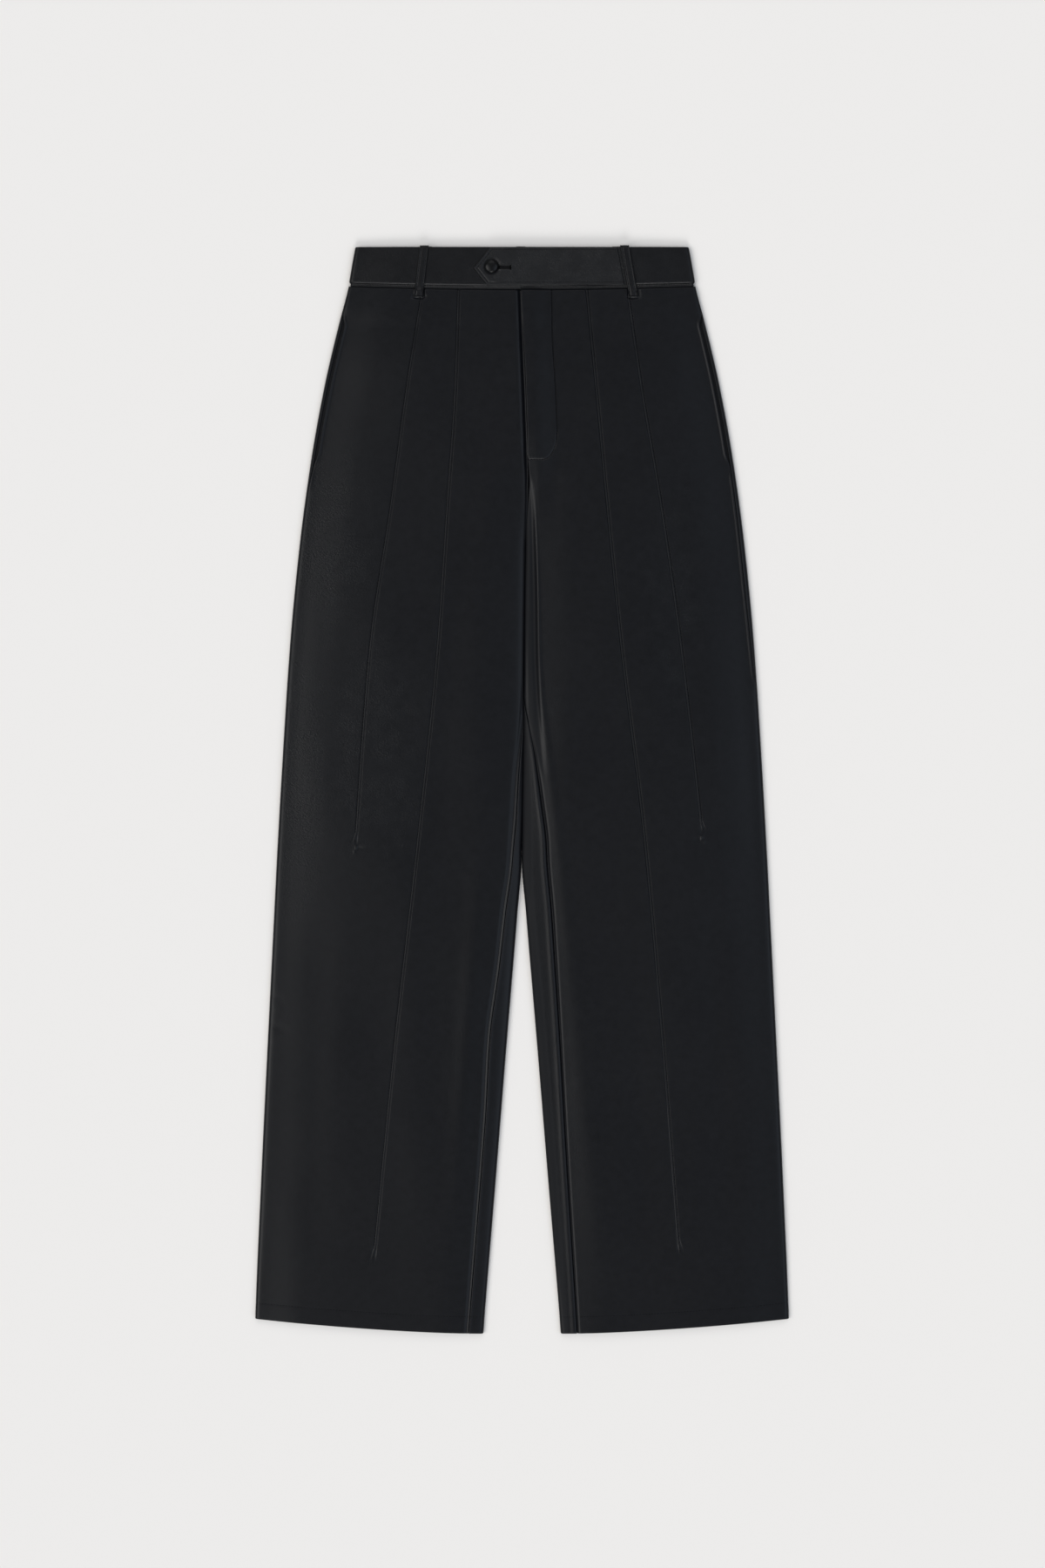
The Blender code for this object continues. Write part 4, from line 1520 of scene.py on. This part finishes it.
# The button's section, in shares of its radius and height
Rim = namedtuple("Rim", "radius height")
BUTTON_PROFILE = (
    Rim(0.0, 0.02),
    Rim(0.62, 0.02),
    Rim(0.8, 0.04),
    Rim(0.9, 0.1),
    Rim(0.965, 0.2),
    Rim(0.995, 0.32),
    Rim(0.99, 0.44),
    Rim(0.955, 0.57),
    Rim(0.89, 0.69),
    Rim(0.8, 0.79),
    Rim(0.68, 0.87),
    Rim(0.52, 0.93),
    Rim(0.34, 0.97),
    Rim(0.17, 0.99),
    Rim(0.0, 1.0),
)


def button():
    """A domed button covered in cloth, gathered in small pleats round its rim."""
    seat = tab_face() + SEAM_GAP
    vertices = []
    for radius_share, height_share in BUTTON_PROFILE[1:-1]:
        for step in range(BUTTON_STEPS):
            angle = 2 * math.pi * step / BUTTON_STEPS
            rim = math.exp(-(((height_share - 0.22) / 0.16) ** 2))
            radius = BUTTON_RADIUS * radius_share * (1 - 0.012 * rim * (1 + math.cos(angle * BUTTON_PLEATS)))
            vertices.append(
                (
                    BUTTON_ACROSS + radius * math.cos(angle),
                    -BUTTON_DOWN + radius * math.sin(angle),
                    seat + BUTTON_HEIGHT * height_share,
                )
            )
    rings = len(BUTTON_PROFILE) - 2
    faces = ring_faces(rings, BUTTON_STEPS)
    for ring, share in ((0, BUTTON_PROFILE[0].height), (rings - 1, BUTTON_PROFILE[-1].height)):
        centre = len(vertices)
        vertices.append((BUTTON_ACROSS, -BUTTON_DOWN, seat + BUTTON_HEIGHT * share))
        for c in range(BUTTON_STEPS):
            d = (c + 1) % BUTTON_STEPS
            faces.append((ring * BUTTON_STEPS + c, ring * BUTTON_STEPS + d, centre))
    return new_object("covered_button", vertices, faces)


# Stitches: short capsules of thread, each dipping into the cloth at both ends

THREAD = 0.2
STITCH_PITCH = 3.0
STITCH_LENGTH = 2.35
STITCH_SIDES = 6
STITCH_SINK = 0.52

# A stitch's rings: along it in shares of its length, then in shares of the thread's radius
Ring = namedtuple("Ring", "along size lift")
STITCH_RINGS = (
    Ring(-0.5, 0.25, -0.5),
    Ring(-0.4, 0.8, 0.1),
    Ring(-0.15, 1.0, 0.5),
    Ring(0.15, 1.0, 0.5),
    Ring(0.4, 0.8, 0.1),
    Ring(0.5, 0.25, -0.5),
)


def stitch_template():
    """Points of one stitch along x, in shares of its length and of the thread's radius."""
    points = []
    for along, size, lift in STITCH_RINGS:
        for side in range(STITCH_SIDES):
            angle = 2 * math.pi * side / STITCH_SIDES
            points.append((along, size * math.cos(angle), lift + size * math.sin(angle)))
    faces = ring_faces(len(STITCH_RINGS), STITCH_SIDES)
    faces.append(tuple(range(STITCH_SIDES)))
    faces.append(tuple(len(points) - 1 - i for i in range(STITCH_SIDES)))
    return np.array(points), faces


def stitch_row(path, pitch=STITCH_PITCH, length=STITCH_LENGTH, thread=THREAD, up=(0, 0, 1)):
    """Vertices and faces of a row of stitches along a path of points on the cloth."""
    centres = resampled(path, pitch)
    template, template_faces = stitch_template()
    tangents = np.gradient(centres, axis=0)
    vertices, faces = [], []
    for centre, tangent in zip(centres[:-1], tangents[:-1]):
        along = Vector(tangent).normalized()
        side = Vector(up).cross(along).normalized()
        over = along.cross(side)
        axes = np.array([along * length, side * thread, over * thread])
        start = len(vertices) * len(template)
        vertices.append(centre + template @ axes)
        faces += [tuple(i + start for i in face) for face in template_faces]
    return np.concatenate(vertices), faces


def single_stitch(first, last, thread):
    first, last = Vector(first), Vector(last)
    length = (last - first).length
    middle_point = (first + last) / 2
    half = (last - first) / 2
    path = [middle_point, middle_point + half]
    return stitch_row(path, length / 2, length, thread)


def stitches(name, rows):
    """Several rows of stitches as one mesh."""
    vertices, faces, count = [], [], 0
    for row_vertices, row_faces in rows:
        vertices.append(row_vertices)
        faces += [tuple(i + count for i in face) for face in row_faces]
        count += len(row_vertices)
    return new_object(name, np.concatenate(vertices), faces, 180.0)


def on_upper(leg, across, down, extra=0.0):
    """Points on the outer face of a leg's upper side."""
    across, down = np.array(across, float), np.array(down, float)
    height = upper_height(leg, down, across) + upper_lie(leg, down, across) + extra
    return np.stack([leg.sign * across, -down, height], axis=-1)


def tuck_stitches(leg, path, first):
    start = BAND_HEIGHT + WAIST_DIP + 0.6
    down = np.arange(start, path[-1].down - 4, 2.0)
    across = tuck_across(path, down) + TUCK_STITCH
    extra = -STITCH_SINK * tuck_share(path, down, first)
    return stitch_row(on_upper(leg, across, down, extra))


def j_stitches():
    across, down = J_PATH[:, 0], J_PATH[:, 1]
    return stitch_row(on_upper(LEFT, across, down, -STITCH_SINK), pitch=2.7, length=2.1)


def hem_stitches(leg):
    """The hem's sewn line round the upper side, from the inner fold to the outer one."""
    shares = np.linspace(0, 1, 200)
    low = inner_edge(leg, HEM_STITCH) + 1.2
    across = low + (half_width(HEM_STITCH) - 1.2 - low) * shares
    down = bent_row(leg, np.full(across.shape, HEM_STITCH), across)
    return stitch_row(on_upper(leg, across, down, -HEM_GROOVE.depth), length=1.7, thread=0.15)


def band_stitches(leg, first, last):
    across = np.linspace(first, last, 160)
    row = np.full(across.shape, BAND_HEIGHT - BAND_STITCH)
    down = bent_row(leg, row, across)
    height = upper_height(leg, down, across) + BAND_PROUD + band_detail(row, across)
    path = np.stack([leg.sign * across, -down, height], axis=-1)
    return stitch_row(path, pitch=2.5, length=1.9, thread=0.17)


def tab_stitch_path():
    """A line inside the tab's edge, from the loop along the top, round the tip and back."""
    inset = TAB_STITCH
    up, low = TAB_LEFT[1], TAB_LEFT[-1]
    tip = TAB_LEFT[3]
    up_run = Vector((tip.x - up.x, tip.down - up.down)).normalized()
    low_run = Vector((low.x - tip.x, low.down - tip.down)).normalized()
    up_in, low_in = Vector((up_run.y, -up_run.x)), Vector((low_run.y, -low_run.x))
    up_line = (Vector((up.x, up.down)) + up_in * inset, up_run)
    low_line = (Vector((low.x, low.down)) + low_in * inset, low_run)

    def at_down(line_at, down):
        start, run = line_at
        return start.x + run.x * (down - start.y) / run.y

    top, bottom = TAB_TOP + inset, TAB_BOTTOM - inset
    share = up_run.y * low_run.x - up_run.x * low_run.y
    gap = low_line[0] - up_line[0]
    reach = (gap.y * low_run.x - gap.x * low_run.y) / share
    corner = up_line[0] + up_run * reach
    return [
        (TAB_END_TOP - 5.5, top),
        (at_down(up_line, top), top),
        (corner.x, corner.y),
        (at_down(low_line, bottom), bottom),
        (TAB_END_BOTTOM - 5.5, bottom),
    ]


def tab_stitches():
    path = resampled(tab_stitch_path(), 0.8)
    x, down = path[:, 0], path[:, 1]
    height = tab_face() + tab_detail(x, down)
    points = np.stack([x, -down, height], axis=-1)
    return stitch_row(points, pitch=2.4, length=1.8, thread=0.17)


def buttonhole_stitches():
    """Close stitches square to the slit, on both sides, and a bar at its end."""
    rows = []
    top = tab_face() + TAB_CROWN + 0.02
    for side in (-1, 1):
        for x in np.arange(HOLE_START + 1.0, HOLE_END, 0.55):
            near, far = HOLE_DOWN + side * 0.65, HOLE_DOWN + side * 1.8
            rows.append(single_stitch((x, -near, top), (x, -far, top + 0.1), 0.22))
    for x in np.arange(HOLE_END - 0.1, HOLE_END + 1.0, 0.42):
        first, last = (x, -(HOLE_DOWN - 2.7), top), (x, -(HOLE_DOWN + 2.7), top)
        rows.append(single_stitch(first, last, 0.3))
    return rows


def loop_stitches(top_across, bottom_across, stand):
    spine = smoothed(resampled(loop_spine(stand), SPINE_STEP), SPINE_EASING)
    rows = []
    for side in (-1, 1):
        points = []
        for down, height in spine[8:-4]:
            centre = loop_centre(down, top_across, bottom_across)
            x = centre + side * (LOOP_WIDTH / 2 - LOOP_STITCH)
            points.append((x, -down, height + LOOP_WALL / 2 * float(foot(down)) - 0.2))
        rows.append(stitch_row(points, pitch=2.6, length=2.0, thread=0.15))
    return rows


# Materials


Patch = namedtuple("Patch", "across down wide long turn")
GRAIN_PATCHES = (
    Patch(-150, 500, 60, 150, 0),
    Patch(-225, 520, 34, 190, 0),
    Patch(-120, 560, 26, 70, 0),
    Patch(-190, 300, 50, 120, 0),
    Patch(60, 20, 70, 30, 0),
    Patch(150, 360, 40, 160, 0),
)
DULL_PATCHES = (
    Patch(9.5, 385, 8.0, 190, 2.0),
    Patch(5.0, 580, 6.5, 150, 1.0),
    Patch(22.5, 850, 7.5, 320, 4.66),
)
DULLER = 0.3
SPECULAR = 0.2
THREAD_SPECULAR = 0.03


def texture(tree, kind, scale, **values):
    node = tree.nodes.new(kind)
    node.inputs["Scale"].default_value = scale
    for key, value in values.items():
        node.inputs[key].default_value = value
    tree.links.new(tree.nodes["place"].outputs["Object"], node.inputs["Vector"])
    return node


def mapped(tree, source, low, high, to_low, to_high):
    node = tree.nodes.new("ShaderNodeMapRange")
    tree.links.new(source, node.inputs["Value"])
    bounds = (("From Min", low), ("From Max", high), ("To Min", to_low), ("To Max", to_high))
    for key, value in bounds:
        node.inputs[key].default_value = value
    return node.outputs["Result"]


def combined(tree, operation, first, second):
    node = tree.nodes.new("ShaderNodeMath")
    node.operation = operation
    for socket, value in zip(node.inputs, (first, second)):
        if isinstance(value, float):
            socket.default_value = value
        else:
            tree.links.new(value, socket)
    return node.outputs[0]


def bumped(tree, height, strength, distance, under=None):
    node = tree.nodes.new("ShaderNodeBump")
    node.inputs["Distance"].default_value = distance
    if isinstance(strength, float):
        node.inputs["Strength"].default_value = strength
    else:
        tree.links.new(strength, node.inputs["Strength"])
    tree.links.new(height, node.inputs["Height"])
    if under:
        tree.links.new(under, node.inputs["Normal"])
    return node.outputs["Normal"]


def patch_mask(tree, patches):
    """One in the middle of each patch and nothing outside them."""
    total = None
    for patch in patches:
        place = tree.nodes.new("ShaderNodeMapping")
        place.vector_type = "TEXTURE"
        place.inputs["Location"].default_value = (
            patch.across * MM,
            (TOP_Y - patch.down) * MM,
            0.0,
        )
        place.inputs["Scale"].default_value = (patch.wide * MM, patch.long * MM, 1.0)
        place.inputs["Rotation"].default_value = (0.0, 0.0, math.radians(patch.turn))
        tree.links.new(tree.nodes["place"].outputs["Object"], place.inputs["Vector"])
        ball = tree.nodes.new("ShaderNodeTexGradient")
        ball.gradient_type = "SPHERICAL"
        tree.links.new(place.outputs["Vector"], ball.inputs["Vector"])
        total = ball.outputs["Fac"] if total is None else combined(
            tree, "MAXIMUM", total, ball.outputs["Fac"]
        )
    return total


def new_material(name, specular):
    """A material with a node named "place" for its textures' coordinates."""
    material = bpy.data.materials.new(name)
    material.use_nodes = True
    tree = material.node_tree
    shader = tree.nodes["Principled BSDF"]
    shader.inputs["Specular IOR Level"].default_value = specular
    tree.nodes.new("ShaderNodeTexCoord").name = "place"
    return material, tree, shader


def leather(name, colour, roughness, grain=1.0, everywhere=0.25):
    """Black coated cloth: a fine pebbled grain, stronger in patches, and a soft sheen."""
    material, tree, shader = new_material(name, SPECULAR)
    shader.inputs["IOR"].default_value = 1.45

    pebbles = texture(tree, "ShaderNodeTexVoronoi", 1100.0)
    fine = texture(tree, "ShaderNodeTexNoise", 1700.0, Detail=2.0)
    worn = texture(tree, "ShaderNodeTexNoise", 620.0, Detail=2.0, Roughness=0.55, Distortion=0.6)
    broken = texture(tree, "ShaderNodeTexNoise", 60.0, Detail=3.0)
    mottle = texture(tree, "ShaderNodeTexNoise", 150.0, Detail=3.0, Roughness=0.6)
    streaks = texture(tree, "ShaderNodeTexNoise", 9.0, Detail=2.0)

    height = combined(tree, "MULTIPLY", pebbles.outputs["Distance"], 0.6)
    height = combined(
        tree, "ADD", height, combined(tree, "MULTIPLY", fine.outputs["Fac"], 0.4)
    )
    normal = bumped(tree, height, 0.25 * grain, 0.0002)
    mask = mapped(tree, patch_mask(tree, GRAIN_PATCHES), 0.0, 0.55, everywhere, 1.0)
    broken_mask = mapped(tree, broken.outputs["Fac"], 0.38, 0.62, 0.25, 1.0)
    strength = combined(tree, "MULTIPLY", mask, broken_mask)
    strength = combined(tree, "MULTIPLY", strength, 0.7 * grain)
    normal = bumped(tree, worn.outputs["Fac"], strength, 0.0004, normal)
    tree.links.new(normal, shader.inputs["Normal"])

    uneven = mapped(
        tree, streaks.outputs["Fac"], 0.3, 0.7, roughness - 0.015, roughness + 0.015
    )
    grainy = mapped(tree, mottle.outputs["Fac"], 0.25, 0.75, -0.02, 0.02)
    dull = mapped(tree, patch_mask(tree, DULL_PATCHES), 0.0, 0.5, 0.0, DULLER)
    rough = combined(tree, "ADD", combined(tree, "ADD", uneven, grainy), dull)
    tree.links.new(rough, shader.inputs["Roughness"])

    tint = tree.nodes.new("ShaderNodeMix")
    tint.data_type = "RGBA"
    tint.inputs["A"].default_value = (*(c * 0.9 for c in colour), 1.0)
    tint.inputs["B"].default_value = (*(c * 1.1 for c in colour), 1.0)
    factor = mapped(tree, mottle.outputs["Fac"], 0.3, 0.7, 0.0, 1.0)
    tree.links.new(factor, tint.inputs["Factor"])
    tree.links.new(tint.outputs["Result"], shader.inputs["Base Color"])
    return material


def thread_material():
    material, tree, shader = new_material("black thread", THREAD_SPECULAR)
    shader.inputs["Roughness"].default_value = 0.95
    twist = texture(tree, "ShaderNodeTexNoise", 3200.0)
    normal = bumped(tree, twist.outputs["Fac"], 0.4, 0.0001)
    tree.links.new(normal, shader.inputs["Normal"])
    shade = mapped(tree, twist.outputs["Fac"], 0.3, 0.7, 0.001, 0.003)
    tree.links.new(shade, shader.inputs["Base Color"])
    return material


# The pieces, put on


def put_on(obj, material, slot, *nodes):
    obj.data.materials.append(material)
    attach(obj, "root")
    if nodes:
        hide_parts(*nodes)
    return obj


def cloth(obj, material, node, cut, rests_on, *sewn):
    """A cut piece, laid flat, given its material and put on in place of its solid. The stitches sewn through
    it are not used.
    """
    put_on(obj, material, "faux_leather" if material == body else "faux_leather_trim", node)


# Each piece's width and length as cut, in metres, and its area where that isn't their product
Cut = namedtuple("Cut", "width length area")
BACK_CUT = Cut(0.30, 1.06, 0.27)
FRONT_CUT = Cut(0.28, 1.06, 0.24)
FACING_CUT = Cut(0.0101, 0.16, None)
BAND_CUT = Cut(0.352, 0.042, None)
TAB_CUT = Cut(0.158, 0.040, None)
FRONT_LOOP_CUT = Cut(0.0108, 0.0565, None)
BACK_LOOP_CUT = Cut(0.0106, 0.0525, None)

# Where the stitched line starts and ends on each half: the right one starts past the tab's tip
BAND_STITCH_ENDS = {"left": (2.0, 171.0), "right": (50.0, 171.0)}

body = leather("faux leather", (0.0042, 0.0047, 0.0062), 0.33)
tab_leather = leather("faux leather tab", (0.0092, 0.0096, 0.0108), 0.33, 1.6, 0.9)
trim = leather("faux leather trim", (0.0052, 0.0055, 0.0066), 0.32, 1.3, 0.5)
covered = leather("faux leather over the button", (0.0030, 0.0032, 0.0038), 0.27, 0.4)
thread = thread_material()


def sewing(name, rows):
    return put_on(stitches(name, rows), thread, "thread")


tuck_rows = {
    leg.name: [
        tuck_stitches(leg, leg.inner_tuck, INNER_TUCK_TOP),
        tuck_stitches(leg, leg.outer_tuck, OUTER_TUCK_TOP),
        hem_stitches(leg),
    ]
    for leg in (LEFT, RIGHT)
}
tuck_rows["left"].append(j_stitches())

for leg in (LEFT, RIGHT):
    side = leg.name
    sewn = sewing(f"front_{side}_stitches", tuck_rows[side])
    back = f"back_{side}_cloth"
    cloth(back_panel(leg), body, f"back_{side}", BACK_CUT, "floor")
    cloth(front_panel(leg), body, f"front_{side}", FRONT_CUT, back, sewn)
    cloth(pocket_facing(leg), body, f"pocket_facing_{side}", FACING_CUT, back)
    band_sewn = sewing(
        f"waistband_{side}_stitches", [band_stitches(leg, *BAND_STITCH_ENDS[side])]
    )
    cloth(waistband(leg), trim, f"waistband_{side}", BAND_CUT, back, band_sewn)

tab_sewn = sewing("waistband_tab_stitches", [tab_stitches(), *buttonhole_stitches()])
cloth(waistband_tab(), tab_leather, "waistband_tab", TAB_CUT, "waistband_left_cloth", tab_sewn)
put_on(button(), covered, "faux_leather_trim", "button")

OVER_TAB = SEAM_GAP + TAB_WALL - TAB_END_THIN + SEAM_GAP
Loop = namedtuple("Loop", "side top_across bottom_across stand")
for item in (Loop("left", 103.4, 112.6, OVER_TAB), Loop("right", -98.6, -104.7, LOOP_STAND)):
    name = f"belt_loop_front_{item.side}"
    rows = loop_stitches(item.top_across, item.bottom_across, item.stand)
    sewn = sewing(f"{name}_stitches", rows)
    strap_object = front_strap(f"{name}_cloth", item.top_across, item.bottom_across, item.stand)
    cloth(strap_object, trim, name, FRONT_LOOP_CUT, f"waistband_{item.side}_cloth", sewn)
for side, across in (
    ("left", BACK_LOOP_ACROSS),
    ("right", -BACK_LOOP_ACROSS),
    ("centre", float(middle(0))),
):
    name = f"belt_loop_back_{side}"
    strap_object = back_strap(f"{name}_cloth", across)
    cloth(strap_object, trim, name, BACK_LOOP_CUT, "floor")


# Studio

PIXEL = 0.88
PHOTO_WIDTH, PHOTO_HEIGHT = 1200, 1800
PHOTO_MIDDLE_X = 599.5
PHOTO_WAIST_Y = 283.0
LENS = 85.0
SENSOR = 36.0
FLOOR_REACH = 6.0
FLOOR_LOW = -0.0004


def floor():
    data = bpy.data.meshes.new("floor")
    corners = [
        (FLOOR_REACH * x, FLOOR_REACH * y, FLOOR_LOW) for x, y in ((-1, -1), (1, -1), (1, 1), (-1, 1))
    ]
    data.from_pydata(corners, [], [(0, 1, 2, 3)])
    obj = linked("floor", data)
    material = bpy.data.materials.new("pale floor")
    material.use_nodes = True
    shader = material.node_tree.nodes["Principled BSDF"]
    shader.inputs["Base Color"].default_value = (0.815, 0.795, 0.775, 1.0)
    shader.inputs["Roughness"].default_value = 1.0
    shader.inputs["Specular IOR Level"].default_value = 0.0
    data.materials.append(material)


def camera():
    data = bpy.data.cameras.new("camera")
    data.lens, data.sensor_width = LENS, SENSOR
    obj = linked("camera", data)
    x = (PHOTO_WIDTH / 2 - PHOTO_MIDDLE_X) * PIXEL
    y = TOP_Y - (PHOTO_HEIGHT / 2 - PHOTO_WAIST_Y) * PIXEL
    away = PHOTO_HEIGHT * PIXEL * LENS / SENSOR
    obj.location = Vector((x, y, away + LOFT)) * MM
    bpy.context.scene.camera = obj


def sun(name, azimuth, elevation, strength, spread_angle, colour):
    """A soft light from a compass direction (0 is towards -Y, 90 towards +X), far away."""
    data = bpy.data.lights.new(name, "SUN")
    data.energy = strength
    data.angle = math.radians(spread_angle)
    data.color = colour
    obj = linked(name, data)
    a, e = math.radians(azimuth), math.radians(elevation)
    towards = Vector((math.sin(a) * math.cos(e), -math.cos(a) * math.cos(e), math.sin(e)))
    obj.rotation_mode = "QUATERNION"
    obj.rotation_quaternion = towards.to_track_quat("Z", "Y")


def studio():
    world = bpy.data.worlds.new("studio")
    world.use_nodes = True
    background = world.node_tree.nodes["Background"]
    background.inputs["Color"].default_value = (1.0, 1.0, 1.0, 1.0)
    background.inputs["Strength"].default_value = 0.18
    bpy.context.scene.world = world
    sun("left light", -78, 56, 1.5, 40, (1.0, 0.99, 0.97))
    sun("near light", 0, 41, 1.1, 26, (1.0, 1.0, 1.0))
    sun("far light", 180, 48, 0.45, 40, (1.0, 1.0, 1.0))
    sun("right light", 82, 55, 0.65, 44, (0.74, 0.85, 1.0))
    bpy.context.scene.view_settings.view_transform = "Standard"


floor()
camera()
studio()
